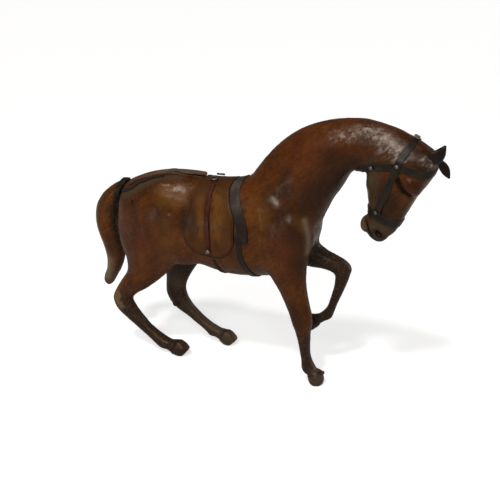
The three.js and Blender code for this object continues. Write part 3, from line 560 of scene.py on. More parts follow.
def near_line(points, places, reach):
    """1 on the line through the places, falling to nothing over the reach: a bell curve of the
    distance to the nearest of its segments."""
    places = np.asarray(places, float)
    best = np.full(len(points), np.inf)
    for start, end in zip(places[:-1], places[1:]) if len(places) > 1 else [(places[0], places[0])]:
        run = end - start
        share = np.clip((points - start) @ run / max(run @ run, 1e-9), 0, 1)
        best = np.minimum(best, ((points - start - share[:, None] * run) ** 2).sum(1))
    return np.exp(-best / reach ** 2)


def beside_line(points, places, reach):
    """As near_line, but measured in the side view alone, and only on the line's own side."""
    places = np.asarray(places, float)
    seen = near_line(points * (1, 0, 1), places * (1, 0, 1), reach)
    return seen * (points[:, 1] * places[:, 1].mean() > 0)


def surface_nets(axes, values):
    """The surface where the values pass through nought: in each cell that it crosses, one point
    at the mean of its crossings of the cell's edges, and a quad around each crossed edge."""
    inside = values < 0
    corners = list(np.ndindex(2, 2, 2))
    ones = inside.astype(np.int8)
    count = sum(
        ones[tuple(slice(one, size - 1 + one) for one, size in zip(corner, ones.shape))]
        for corner in corners
    )
    mixed = (count > 0) & (count < 8)
    cells = np.argwhere(mixed)
    number = np.full(mixed.shape, -1)
    number[mixed] = np.arange(len(cells))
    held = {corner: values[tuple((cells + corner).T)] for corner in corners}
    total = np.zeros((len(cells), 3))
    crossings = np.zeros(len(cells))
    for axis in range(3):
        for corner in corners:
            if corner[axis]:
                continue
            other = tuple(1 if i == axis else one for i, one in enumerate(corner))
            first, second = held[corner], held[other]
            crossed = (first < 0) != (second < 0)
            place = np.tile(np.array(corner, float), (crossed.sum(), 1))
            place[:, axis] += first[crossed] / (first[crossed] - second[crossed])
            total[crossed] += place
            crossings[crossed] += 1
    places = cells + total / crossings[:, None]
    points = np.stack(
        [np.interp(place, np.arange(len(line)), line) for place, line in zip(places.T, axes)], 1
    )
    quads = []
    for axis in range(3):
        second, third = (axis + 1) % 3, (axis + 2) % 3
        here = [slice(1, -1)] * 3
        here[axis] = slice(0, -1)
        ahead = list(here)
        ahead[axis] = slice(1, None)
        crossed = inside[tuple(here)] != inside[tuple(ahead)]
        start = np.argwhere(crossed) + [0 if i == axis else 1 for i in range(3)]
        ring = []
        for back in ((1, 1), (0, 1), (0, 0), (1, 0)):
            cell = start.copy()
            cell[:, second] -= back[0]
            cell[:, third] -= back[1]
            ring.append(number[tuple(cell.T)])
        faces = np.stack(ring, 1)
        flip = inside[tuple(ahead)][crossed]
        faces[flip] = faces[flip][:, ::-1]
        quads.append(faces)
    return points, np.vstack(quads)


# Meshes

def in_frame(points):
    """Places in the drawing, in millimetres, as places in the frame, in metres."""
    return (np.asarray(points, float) + FRAME_SHIFT) * MILLIMETRE


def volume_of(points, quads):
    """Six times the volume inside the quads: the sum over their two triangles of a . (b x c)."""
    a, b, c, d = (points[quads[:, i]] for i in range(4))
    return (a * (np.cross(b, c) + np.cross(c, d))).sum()


def add_piece(node, material, parts, marks=None):
    """One mesh in the frame that stands for a CAD node. Each part is points and faces; marks are
    numbers from 0 to 1 at each point, by name."""
    points, faces = [], []
    for part_points, part_faces in parts:
        start = sum(len(some) for some in points)
        points.append(part_points)
        faces.extend([[start + corner for corner in face] for face in part_faces])
    points = np.vstack(points)
    mesh = bpy.data.meshes.new(f"{node}_leather")
    mesh.from_pydata(in_frame(points).tolist(), [], faces)
    mesh.polygons.foreach_set("use_smooth", np.ones(len(mesh.polygons), bool))
    for name, values in (marks or {}).items():
        attribute = mesh.attributes.new(name, "FLOAT", "POINT")
        attribute.data.foreach_set("value", np.asarray(values, np.float32))
    mesh.materials.append(material)
    piece = bpy.data.objects.new(f"{node}_leather", mesh)
    bpy.context.scene.collection.objects.link(piece)
    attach(piece, "root")
    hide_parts(node)
    return piece


def skinned(sections, closed):
    """Points and faces of a run of sections [section, point, xyz], each a ring, with a face over
    each open end. Faces are turned outwards."""
    count, around = sections.shape[:2]
    points = sections.reshape(-1, 3)
    number = np.arange(count * around).reshape(count, around)
    rows = np.vstack([number, number[:1]]) if closed else number
    ahead = np.roll(rows, -1, axis=1)
    quads = np.stack([rows[:-1], rows[1:], ahead[1:], ahead[:-1]], -1).reshape(-1, 4)
    faces = quads
    flip = volume_of(points, quads) < 0
    if flip:
        faces = quads[:, ::-1]
    faces = faces.tolist()
    if not closed:
        ends = [number[0].tolist(), number[-1][::-1].tolist()]
        faces += [end[::-1] for end in ends] if flip else ends
    return points, faces


# Leather bands

def through(places, closed):
    """Even samples along a smooth curve through the places. Each span is a Hermite cubic whose
    end slopes weigh the neighbours by the square root of their distance. Further columns,
    such as the layers beneath, are mixed in proportion along each span."""
    places = np.asarray(places, float)
    route, others = places[:, :3], places[:, 3:]
    count = len(route)
    if closed:
        ring = np.arange(-1, count + 2) % count
        route, others = route[ring], np.vstack([others, others[:1]])
    else:
        route = np.vstack([2 * route[0] - route[1], route, 2 * route[-1] - route[-2]])
    spans = len(route) - 3
    gaps = np.sqrt(np.linalg.norm(np.diff(route, axis=0), axis=1))[:, None]
    before, here, after, beyond = (route[i:i + spans] for i in range(4))
    first, middle, last = (gaps[i:i + spans] for i in range(3))
    leave = middle * (
        (here - before) / first - (after - before) / (first + middle) + (after - here) / middle
    )
    arrive = middle * (
        (after - here) / middle - (beyond - here) / (middle + last) + (beyond - after) / last
    )
    share = np.linspace(0, 1, SAMPLES_PER_SPAN + 1)[:-1][None, :, None]
    cube, square = share ** 3, share ** 2
    curve = (
        (2 * cube - 3 * square + 1) * here[:, None]
        + (cube - 2 * square + share) * leave[:, None]
        + (3 * square - 2 * cube) * after[:, None]
        + (cube - square) * arrive[:, None]
    ).reshape(-1, 3)
    curve = np.vstack([curve, after[-1:]])
    along = np.linspace(0, spans, len(curve))
    length = np.concatenate([[0], np.cumsum(np.linalg.norm(np.diff(curve, axis=0), axis=1))])
    samples = max(int(round(length[-1] / STRAP_STEP)), 4)
    wanted = np.linspace(0, length[-1], samples + 1)[:samples if closed else None]
    columns = [np.interp(wanted, length, column) for column in curve.T]
    at = np.interp(wanted, length, along)
    columns += [np.interp(at, np.arange(spans + 1), other) for other in others.T]
    return np.stack(columns, 1)


def across_middle(places):
    """A run that crosses the middle at its last place and goes back the same way on the left."""
    return places + other_side(places[:-1])[::-1]


def both_sides(places):
    """A loop that crosses the middle at its first and last place, down the right, up the left."""
    return places + other_side(places[1:-1])[::-1]


def other_side(places):
    return [(x, -y, *rest) for x, y, *rest in places]


def band_profile(half, thickness, sink):
    """The section of a leather band for each half width: across, height and edge. The underside
    is flat, the edges are rounded with a faint crease inside them, and edge is 1 at the rim."""
    inset = np.minimum(np.array([0, 0, 0.3, 0.75, 1.3, 1.8]), half[:, None] * 0.85)
    rows = max(3, int(half.max() / 1.5))
    fill = np.linspace(-1, 1, rows + 2)[1:-1]
    inner = (half - 1.8).clip(0.15 * half)[:, None] * fill
    across = np.concatenate([inset - half[:, None], inner, (half[:, None] - inset)[:, ::-1]], 1)
    rim = thickness * np.array([0, 0.6, 0.93, 1.0, 0.93, 1.0]) - sink * np.array([1, 0, 0, 0, 0, 0])
    height = np.concatenate([rim, np.full(rows, thickness), rim[::-1]])
    worn = np.array([1, 1, 1, 0.5, 0.2, 0])
    edge = np.concatenate([worn, np.zeros(rows), worn[::-1]])
    return across, height, edge


def band(skin, places, width, rear_width=None, thickness=STRAP_FACE, closed=False, base=0.0):
    """A flat leather band that follows the skin. Its line is settled at the lift of its layers,
    and its section is laid square across the line, each point at its own height above the skin.
    Its width grows evenly to the rear width, where there is one."""
    layer = STRAP_THICKNESS + CLEARANCE
    route = through([tuple(place) + (0,) * (4 - len(place)) for place in places], closed)
    lift = CLEARANCE + base + route[:, 3] * layer
    middle = skin.settled(route[:, :3], lift)
    if closed:
        along = np.roll(middle, -1, axis=0) - np.roll(middle, 1, axis=0)
    else:
        along = np.gradient(middle, axis=0)
    outwards = skin.outwards(middle)
    side = np.cross(along, outwards)
    side /= np.linalg.norm(side, axis=1, keepdims=True)
    half = np.linspace(width, rear_width or width, len(route)) / 2
    across, height, edge = band_profile(half, thickness, SINK)
    points = middle[:, None] + side[:, None] * across[..., None]
    sections = skin.settled(points, lift[:, None] + height[None, :])
    return skinned(sections, closed), np.tile(edge, len(sections))


# Turned and bent metal parts

STUD_SIDES = 28
RING_SIDES = 36
WIRE_SIDES = 14
BAR_SIDES = 10
PRONG_SECTIONS = 12

def set_square(skin, points, place, lift):
    """A fitting drawn with +Z outwards, seated at the lift above the skin and square to it."""
    seat = skin.settled(np.array([place], float), lift)[0]
    outwards = skin.outwards(seat[None])[0]
    turn = Vector((0, 0, 1)).rotation_difference(Vector(outwards)).to_matrix()
    return points @ np.array(turn).T + seat


def turned(profile, around):
    """A profile of (radius, height) rows carried around the Z axis."""
    angles = np.arange(around) / around * 2 * np.pi
    profile = np.asarray(profile, float)
    ring = np.stack([np.cos(angles), np.sin(angles)], 1)
    flat = profile[:, 0][:, None, None] * ring[None]
    up = np.broadcast_to(profile[:, 1][:, None, None], flat.shape[:2] + (1,))
    return skinned(np.concatenate([flat, up], -1), False)


def stud_head(radius, height):
    """A domed nail head: a short straight rim, a quarter-round shoulder and a dome."""
    angles = np.linspace(0, np.pi / 2, 9)[:-1]
    dome = [(radius * np.cos(angle), height * (0.3 + 0.7 * np.sin(angle))) for angle in angles]
    return turned([(radius, -SINK)] + dome + [(radius * 0.05, height)], STUD_SIDES)


def wire_ring(radius, wire):
    """A ring of round wire: a circle carried around a circle."""
    turn = np.arange(RING_SIDES) / RING_SIDES * 2 * np.pi
    around = np.arange(WIRE_SIDES) / WIRE_SIDES * 2 * np.pi
    distance = radius + wire * np.cos(around)[None, :]
    sections = np.stack([
        np.cos(turn)[:, None] * distance,
        np.sin(turn)[:, None] * distance,
        np.broadcast_to(wire + wire * np.sin(around)[None, :], (RING_SIDES, WIRE_SIDES)),
    ], -1)
    return skinned(sections, True)


def buckle_frame(length, breadth, bar):
    """A square buckle: a rounded bar carried around a rectangle, with a prong across it."""
    corner = bar * 0.9
    turns = np.linspace(0, np.pi / 2, 5)
    line, facing = [], []
    for quarter, (sx, sy) in enumerate(((1, 1), (-1, 1), (-1, -1), (1, -1))):
        angles = turns + quarter * np.pi / 2
        middle = np.array([sx * (length / 2 - corner), sy * (breadth / 2 - corner)])
        ring = np.stack([np.cos(angles), np.sin(angles)], 1)
        line.append(middle + ring * (corner - bar / 2))
        facing.append(ring)
    line, facing = np.vstack(line), np.vstack(facing)
    around = np.arange(BAR_SIDES) / BAR_SIDES * 2 * np.pi
    flat = line[:, None] + facing[:, None] * (bar / 2 * np.cos(around))[None, :, None]
    up = np.broadcast_to(bar / 2 + bar / 2 * np.sin(around)[None, :, None], flat.shape[:2] + (1,))
    frame = skinned(np.concatenate([flat, up], -1), True)
    reach = np.linspace(-length / 2 + bar * 0.4, length / 2 - bar * 0.2, PRONG_SECTIONS)
    thick = bar * 0.32
    size = (PRONG_SECTIONS, BAR_SIDES)
    prong = np.stack([
        np.broadcast_to(reach[:, None], size),
        np.broadcast_to(thick * np.cos(around)[None, :], size),
        bar * 0.95 + thick * np.sin(around)[None, :] + 0 * reach[:, None],
    ], -1)
    return frame, skinned(prong, False)


# The saddle and the tongue behind it

SADDLE_AXIS = 185.0  # height of the line from which places around the trunk are measured
SADDLE_DROP = 127.0  # degrees from the ridge down to the saddle's lowest edge
SADDLE_REAR = -68.0  # its rear edge on the ridge
SADDLE_SPREAD = 14.0  # how much further back the rear edge is at its widest
SADDLE_ROUND_FROM = 0.74  # the share of the way down at which the lower edge starts to round
SADDLE_ROUNDNESS = 1.9
SADDLE_SECTIONS = 151
SADDLE_ENDS = 0.985  # how far down its last sections are, so that they keep some width
SADDLE_ROWS = 40
SADDLE_RIM = 3.2
UNDER_SADDLE = CLEARANCE + 0.4


def rear_edge_of(places, width, angle):
    """Where a strap around the trunk has its rear edge, at angles from upright."""
    places = np.asarray([place[:3] for place in places], float)
    around = np.arctan2(np.abs(places[:, 1]), places[:, 2] - SADDLE_AXIS)
    order = np.argsort(around)
    x = np.interp(angle, around[order], places[order, 0])
    return np.where(angle > around.max(), np.inf, x - width / 2)


def on_ray(skin, x, angle, lift):
    """Where rays from the trunk's axis, at angles from upright, are the lift above the skin, by
    halving the span between a near and a far place."""
    x, angle, lift = np.broadcast_arrays(x, angle, lift)
    low, high = np.zeros(x.shape), np.full(x.shape, HORSE_HEIGHT / 5)
    for _ in range(HALVINGS):
        middle = (low + high) / 2
        place = np.stack([x, np.sin(angle) * middle, SADDLE_AXIS + np.cos(angle) * middle], -1)
        above = skin.distance(place) > lift
        high, low = np.where(above, middle, high), np.where(above, low, middle)
    return np.stack([x, np.sin(angle) * low, SADDLE_AXIS + np.cos(angle) * low], -1)


def saddle_parts(skin):
    """The saddle as sections over the back: its front edge follows the straps before it, its
    rear edge leans back on the way down, and its lower edge is rounded. The rim is rounded
    and creased like a band's. Returns the mesh, and for each point how near the rim and the
    crease it is, with the marks of the saddle's lines."""
    steps = np.linspace(-1, 1, SADDLE_SECTIONS)
    around = SADDLE_ENDS * (steps + np.sin(steps * np.pi / 2)) / 2
    share = np.abs(around)
    angle = np.radians(SADDLE_DROP) * share
    front = np.minimum(
        rear_edge_of(SURCINGLE, SURCINGLE_WIDTH, angle),
        rear_edge_of(FRONT_GIRTH, FRONT_GIRTH_WIDTH, angle),
    ) - SEAM
    rear = SADDLE_REAR - SADDLE_SPREAD * np.minimum(share / SADDLE_ROUND_FROM, 1)
    past = np.maximum(share - SADDLE_ROUND_FROM, 0) / (1 - SADDLE_ROUND_FROM)
    half = (front - rear) / 2 * (1 - past ** SADDLE_ROUNDNESS) ** (1 / SADDLE_ROUNDNESS)
    middle = (front + rear) / 2
    inset = np.array([0, 0, 0.35, 1.1, 1.9, 2.4, SADDLE_RIM])
    height = SADDLE_FACE * np.array([-0.9, 0.5, 0.95, 1.05, 0.8, 1.0, 1.0])
    fill = np.linspace(0, 1, SADDLE_ROWS + 2)[1:-1]
    across = np.concatenate([
        -half[:, None] + np.minimum(inset[None], half[:, None] * 0.9),
        (half - SADDLE_RIM).clip(0.1 * half)[:, None] * (2 * fill - 1)[None],
        (half[:, None] - np.minimum(inset[None], half[:, None] * 0.9))[:, ::-1],
    ], 1)
    lift = np.concatenate([height, np.full(len(fill), SADDLE_FACE), height[::-1]])
    lift = UNDER_SADDLE + np.broadcast_to(lift, across.shape)
    lift = lift + 0.12 * np.sin(across * 0.21 + share[:, None] * 19)
    side = np.sign(around)[:, None] * angle[:, None]
    points = on_ray(skin, middle[:, None] + across, side, lift)
    rim = np.minimum(half[:, None] - np.abs(across), (1 - share[:, None]) * 75)
    low = np.clip((share[:, None] - 0.45) / 0.25, 0.25, 1)
    marks = {
        "rim": low * np.exp(-(rim / 1.1) ** 2),
        "crease": low * np.exp(-((rim - 2.2) / 0.5) ** 2),
    }
    marks = {name: value.reshape(-1) for name, value in marks.items()}
    marks |= line_marks(points.reshape(-1, 3), SADDLE_LINES)
    return skinned(points, False), marks


TONGUE_FROM = -112.0
TONGUE_TO = SADDLE_REAR - SEAM
TONGUE_RISE = 5.0  # at its middle
TONGUE_ENDS = 0.45  # width of its ends as a share of the middle's
TONGUE_ROUNDING = 0.6
TONGUE_SECTIONS = 40
BACK_HEIGHT = 247.0


def tongue_parts(skin):
    """A leaf that arches over the crupper strap: its width and rise follow half a sine wave."""
    share = np.linspace(0, 1, TONGUE_SECTIONS)
    arch = np.sin(np.pi * share)
    half = TONGUE_WIDTH / 2 * (TONGUE_ENDS + (1 - TONGUE_ENDS) * arch ** TONGUE_ROUNDING)
    across, height, edge = band_profile(half, TONGUE_THICKNESS, 0.0)
    angle = np.arctan2(across, BACK_HEIGHT - SADDLE_AXIS)
    lift = (2 * CLEARANCE + STRAP_THICKNESS + TONGUE_RISE * arch)[:, None] + height[None]
    x = TONGUE_FROM + (TONGUE_TO - TONGUE_FROM) * share
    points = on_ray(skin, x[:, None], angle, lift)
    return skinned(points, False), np.tile(edge, len(share))


# Ears and torn leaves of hide: places along each with half of its width there, and the way its
# broad side lies

EARS = {
    "right": (
        [(206, -9, 293, 8), (214, -9.5, 299, 8.5), (219, -9, 305, 6.5), (223.5, -8.5, 314, 1.2)],
        (0.85, 0.35, -0.45),
    ),
    "left": (
        [(209.5, 10.8, 294, 3.5), (215.5, 12.3, 290, 4), (219.8, 12.8, 285, 5.2),
         (223.5, 13.2, 279.3, 4.5), (227.5, 13, 273, 1.1)],
        (0.3, 0.35, 0.95),
    ),
}
TORN_LEAVES = [
    ([(96, -25, 13, 5), (100, -25.5, 17, 4.5), (103, -26, 18.6, 2.6)], (0.1, 1, 0)),
    ([(-128, 21, 57, 6), (-132, 20.5, 53, 5.5), (-135, 20, 50.5, 3.4)], (0.55, 0.3, 0.75)),
]
LEAF_ROWS = 9  # on each span
LEAF_SIDES = 32


def leaf_parts(line, sideways):
    """A leaf along a curved line: each section is a flat oval bent into a shallow dish, deeper
    towards the root, and it closes to a point at the tip."""
    rows = smoothed(line, LEAF_ROWS)
    along = np.gradient(rows[:, :3], axis=0)
    along /= np.linalg.norm(along, axis=1, keepdims=True)
    turned_to = np.array(sideways) / np.linalg.norm(sideways)
    across = turned_to - along * (along @ turned_to)[:, None]
    across /= np.linalg.norm(across, axis=1, keepdims=True)
    outwards = np.cross(along, across)
    half = rows[:, 3]
    angle = np.arange(LEAF_SIDES) / LEAF_SIDES * 2 * np.pi
    thick = EAR_THICKNESS / 2 * np.minimum(half / EAR_THICKNESS, 1)
    dish = EAR_HOLLOW * np.minimum(half / 5, 1)
    forward = (
        thick[:, None] * np.sin(angle) * (1 - 0.45 * np.cos(angle) ** 4)
        + dish[:, None] * (np.cos(angle) ** 2)
    )
    points = (
        rows[:, None, :3]
        + across[:, None] * (half[:, None] * np.cos(angle))[..., None]
        + outwards[:, None] * forward[..., None]
    )
    return skinned(points, False)


# Shader groups and materials

def tone(digits):
    """A colour of six hexadecimal digits as linear light."""
    values = np.array([int(digits[i:i + 2], 16) for i in (0, 2, 4)]) / 255
    linear = np.where(values <= 0.04045, values / 12.92, ((values + 0.055) / 1.055) ** 2.4)
    return (*linear, 1.0)


def put(tree, kind, inputs=None, **settings):
    """A node with its settings, and each input linked to a socket or set to a value."""
    made = tree.nodes.new(kind)
    for name, value in settings.items():
        setattr(made, name, value)
    for name, value in (inputs or {}).items():
        if isinstance(value, bpy.types.NodeSocket):
            tree.links.new(value, made.inputs[name])
        else:
            made.inputs[name].default_value = value
    return made


def math(tree, operation, first, second=0.0, clamp=False):
    return put(tree, "ShaderNodeMath", {0: first, 1: second}, operation=operation,
               use_clamp=clamp).outputs[0]


def ranged(tree, value, low, high, to_low=0.0, to_high=1.0):
    """The value carried smoothly from one range to another, and kept inside it."""
    return put(tree, "ShaderNodeMapRange", {
        "Value": value, "From Min": low, "From Max": high, "To Min": to_low, "To Max": to_high,
    }, interpolation_type="SMOOTHSTEP").outputs[0]


def mixed(tree, share, first, second):
    return put(tree, "ShaderNodeMix", {0: share, 6: first, 7: second}, data_type="RGBA").outputs[2]


def mark(tree, name):
    return put(tree, "ShaderNodeAttribute", attribute_name=name).outputs["Fac"]


def new_group(name, inputs, outputs):
    group = bpy.data.node_groups.new(name, "ShaderNodeTree")
    for socket, value in inputs.items():
        made = group.interface.new_socket(socket, in_out="INPUT", socket_type="NodeSocketFloat")
        made.default_value = value
    for socket in outputs:
        group.interface.new_socket(socket, in_out="OUTPUT", socket_type="NodeSocketFloat")
    return group, put(group, "NodeGroupInput").outputs, put(group, "NodeGroupOutput").inputs


def grain_group():
    """Leather grain: small plump cells between fine valleys, and longer wrinkles across them."""
    given = {"Cells": 700.0, "Wrinkles": 120.0}
    group, given, out = new_group("leather_grain", given, ("Height", "Valleys"))
    place = put(group, "ShaderNodeTexCoord").outputs["Object"]
    warp = put(group, "ShaderNodeTexNoise", {"Vector": place, "Scale": 260.0, "Detail": 2.0})
    bent = put(group, "ShaderNodeVectorMath", {0: warp.outputs["Color"], 1: (0.0016,) * 3},
               operation="MULTIPLY")
    place = put(group, "ShaderNodeVectorMath", {0: place, 1: bent.outputs[0]}).outputs[0]
    cells = put(group, "ShaderNodeTexVoronoi", {"Vector": place, "Scale": given["Cells"]},
                feature="DISTANCE_TO_EDGE")
    plump = ranged(group, cells.outputs["Distance"], 0.0, 0.22)
    folds = put(group, "ShaderNodeTexNoise", {
        "Vector": place, "Scale": given["Wrinkles"], "Detail": 5.0, "Roughness": 0.6,
    }, noise_type="RIDGED_MULTIFRACTAL", normalize=True)
    wrinkle = ranged(group, folds.outputs[0], 0.35, 0.8)
    height = math(group, "SUBTRACT", math(group, "MULTIPLY", plump, 0.45),
                  math(group, "MULTIPLY", wrinkle, 0.55))
    group.links.new(height, out["Height"])
    group.links.new(math(group, "SUBTRACT", 1.0, plump), out["Valleys"])
    return group


PATINA = ("Cloud", "Mottle", "Runs", "Streaks", "Flecks")


def patina_group():
    """Patina: cloudy patches of stain with a finer mottle in them, upright runs of stain, slanting
    streaks and close flecks, each a noise whose range is stretched to 0 and 1."""
    group, given, out = new_group("patina", {"Size": 30.0}, PATINA)
    place = put(group, "ShaderNodeTexCoord").outputs["Object"]
    upright = put(group, "ShaderNodeMapping", {"Vector": place, "Scale": (1.0, 1.0, 0.34)}).outputs[0]
    slant = put(group, "ShaderNodeVectorRotate", {"Vector": place, "Angle": np.radians(40)},
                rotation_type="Y_AXIS").outputs[0]
    slant = put(group, "ShaderNodeMapping", {"Vector": slant, "Scale": (0.2, 1.0, 1.0)}).outputs[0]
    for name, vector, fineness, detail, roughness, distortion, low, high in (
        ("Cloud", place, 1.0, 3.0, 0.5, 0.6, 0.34, 0.66),
        ("Mottle", place, 7.0, 5.0, 0.65, 0.0, 0.3, 0.7),
        ("Runs", upright, 3.4, 3.0, 0.6, 1.2, 0.46, 0.72),
        ("Streaks", slant, 12.0, 4.0, 0.6, 0.5, 0.38, 0.62),
        ("Flecks", place, 20.0, 3.0, 0.7, 0.0, 0.52, 0.72),
    ):
        noise = put(group, "ShaderNodeTexNoise", {
            "Vector": vector, "Scale": math(group, "MULTIPLY", given["Size"], fineness),
            "Detail": detail, "Roughness": roughness, "Distortion": distortion,
        })
        group.links.new(ranged(group, noise.outputs[0], low, high), out[name])
    return group


def start_material(name, groups, cells, wrinkles, size):
    """A new material with its grain and patina groups placed in it."""
    material = bpy.data.materials.new(name)
    material.use_nodes = True
    tree = material.node_tree
    grain = put(tree, "ShaderNodeGroup", node_tree=groups["grain"])
    grain.inputs["Cells"].default_value = cells
    grain.inputs["Wrinkles"].default_value = wrinkles
    patina = put(tree, "ShaderNodeGroup", node_tree=groups["patina"])
    patina.inputs["Size"].default_value = size
    return material, tree, grain.outputs, patina.outputs


LEATHER_SHINE = 0.12
LEATHER_SHINE_TINT = (1.0, 0.8, 0.58, 1.0)
COAT_ROUGHNESS = 0.24


def finish_leather(tree, colour, roughness, height, depth, coat):
    """Colour, roughness and bumps into the shader; what is the same all over is set on it."""
    principled = tree.nodes["Principled BSDF"]
    bump = put(tree, "ShaderNodeBump", {"Height": height, "Strength": 1.0, "Distance": depth})
    tree.links.new(colour, principled.inputs["Base Color"])
    tree.links.new(roughness, principled.inputs["Roughness"])
    tree.links.new(bump.outputs[0], principled.inputs["Normal"])
    principled.inputs["Coat Weight"].default_value = coat
    principled.inputs["Coat Roughness"].default_value = COAT_ROUGHNESS
    principled.inputs["Specular IOR Level"].default_value = LEATHER_SHINE
    principled.inputs["Specular Tint"].default_value = LEATHER_SHINE_TINT


def with_stain_or_painted_light(tree, colour, share, amount, digits):
    """The colour with another tone laid over it, by the amount times the share at each place. The
    tone is a stain at most calls, partly painted shade at the deep mark, and a painted highlight
    at the sheen mark.
    """
    return mixed(tree, math(tree, "MULTIPLY", share, amount), colour, tone(digits))


def hide_leather(name, groups):
    """The horse's skin: cognac leather under a dark uneven stain. Its marks give the red, golden and
    plum stains, a deep tone that is partly dark stain and partly painted shade on the lower neck,
    chest and cheek, the drab belly, the dark lower legs, painted shade under the neck and chin, at
    the tail's root and inner side and on the far legs, the pale and worn places, the grooves
    darkened near black, and whitish painted highlights in broken streaks and spots."""
    material, tree, grain, patina = start_material(name, groups, cells=620.0, wrinkles=75.0, size=22.0)
    mottle = patina["Mottle"]
    colour = mixed(tree, patina["Cloud"], tone("40200b"), tone("63330f"))
    # The deep mark is partly dark stain and partly painted shade on the lower neck, chest, throat and
    # cheek.
    for share, amount, digits in (
        (mottle, 0.4, "6f3a10"), (patina["Runs"], 0.3, "2f170b"), (patina["Streaks"], 0.42, "31180b"),
        (mark(tree, "red"), 0.5, "5c260c"), (mark(tree, "gold"), 0.5, "6d4410"),
        (mark(tree, "plum"), 0.45, "2b160f"), (mark(tree, "deep"), 0.75, "24130a"),
        (mark(tree, "drab"), 0.75, "4e3f2d"),
    ):
        colour = with_stain_or_painted_light(tree, colour, share, amount, digits)
    broken = math(tree, "SUBTRACT", mottle, 0.5)
    # The dark mark is partly the stain of the lower legs and partly painted shade: under the neck and the
    # chin, at the tail's root and inner side, and on the far legs.
    dark = math(tree, "ADD", mark(tree, "dark"), math(tree, "MULTIPLY", broken, 0.7))
    dark = math(tree, "MULTIPLY", ranged(tree, dark, 0.1, 0.8), 0.92)
    # The dark tone that the dark mark lays on, for the stain and the painted shade alike.
    stain = mixed(tree, patina["Flecks"], tone("271d16"), tone("5c4b39"))
    colour = mixed(tree, dark, colour, stain)
    colour = with_stain_or_painted_light(tree, colour, mark(tree, "pale"), 0.6, "806d57")
    worn = math(tree, "ADD", mark(tree, "worn"), math(tree, "MULTIPLY", broken, 0.5))
    colour = with_stain_or_painted_light(tree, colour, ranged(tree, worn, 0.25, 1.1), 0.85, "7a5c3e")
    pit = mark(tree, "pit")
    valleys = math(tree, "MULTIPLY", grain["Valleys"], 0.35)
    colour = mixed(tree, math(tree, "MAXIMUM", pit, valleys), colour, tone("0e0907"))
    # Painted highlight: whitish streaks mixed into the colour where the sheen mark lies.
    painted_sheen = math(tree, "MULTIPLY", mark(tree, "painted_sheen"), ranged(tree, mottle, 0.25, 0.8, 0.15, 1.0))
    painted_sheen = math(tree, "MULTIPLY", painted_sheen, patina["Streaks"])
    colour = with_stain_or_painted_light(tree, colour, painted_sheen, 0.68, "b3a190")
    # Painted highlight: pale spots mixed into the colour where the gloss mark lies.
    gloss = math(tree, "MULTIPLY", mark(tree, "gloss"), ranged(tree, mottle, 0.0, 1.0, 0.16, 0.46))
    colour = mixed(tree, gloss, colour, tone("bfae9e"))
    matt = math(tree, "MAXIMUM", pit, math(tree, "MULTIPLY", mark(tree, "dark"), 0.5))
    roughness = ranged(tree, mottle, 0.0, 1.0, 0.17, 0.34)
    roughness = math(tree, "ADD", roughness, math(tree, "MULTIPLY", matt, 0.3))
    finish_leather(tree, colour, roughness, grain["Height"], depth=0.00013, coat=0.08)
    return material


def strap_leather(name, groups, low, high, edge_tone, coat=0.1, blush=None):
    """Strap leather: one stain mottled between two tones, another tone along the edges, and a
    blush of a third where it is marked red."""
    material, tree, grain, patina = start_material(name, groups, cells=900.0, wrinkles=160.0, size=55.0)
    mottle = patina["Mottle"]
    colour = mixed(tree, patina["Cloud"], tone(low), tone(high))
    if blush:
        colour = with_stain_or_painted_light(tree, colour, mark(tree, "red"), 0.8, blush)
    edge = math(tree, "MULTIPLY", mark(tree, "edge"), ranged(tree, mottle, 0.0, 1.0, 0.4, 1.0))
    colour = with_stain_or_painted_light(tree, colour, edge, 0.7, edge_tone)
    colour = with_stain_or_painted_light(tree, colour, grain["Valleys"], 0.3, "0d0907")
    roughness = ranged(tree, mottle, 0.0, 1.0, 0.28, 0.45)
    finish_leather(tree, colour, roughness, grain["Height"], depth=0.00012, coat=coat)
    return material


def saddle_leather(name, groups):
    """Saddle leather: a little more golden than the skin, with golden places, dark runs, darker
    down its rear edge, a painted shadow down its front edge beside the surcingle, and a dark
    rim and crease along its lower edge."""
    material, tree, grain, patina = start_material(name, groups, cells=800.0, wrinkles=110.0, size=34.0)
    colour = mixed(tree, patina["Cloud"], tone("3e2109"), tone("522c0b"))
    colour = with_stain_or_painted_light(tree, colour, patina["Mottle"], 0.35, "502b0c")
    gold = math(tree, "MULTIPLY", mark(tree, "gold"), 0.75)
    gold = math(tree, "MULTIPLY", gold, ranged(tree, patina["Runs"], 0.0, 1.0, 1.0, 0.2))
    colour = mixed(tree, gold, colour, tone("6c430e"))
    line = math(tree, "MAXIMUM", mark(tree, "crease"), mark(tree, "rim"))
    line = math(tree, "MAXIMUM", line, mark(tree, "pit"))
    # The stain mark is a painted shadow down the front edge, beside the surcingle, and a darker rear edge.
    for share, amount, digits in (
        (patina["Runs"], 0.4, "2f1a0b"), (mark(tree, "stain"), 0.75, "28160f"), (line, 0.85, "150d09"),
        (grain["Valleys"], 0.3, "150d09"),
    ):
        colour = with_stain_or_painted_light(tree, colour, share, amount, digits)
    roughness = ranged(tree, patina["Mottle"], 0.0, 1.0, 0.32, 0.5)
    finish_leather(tree, colour, roughness, grain["Height"], depth=0.00014, coat=0.1)
    return material


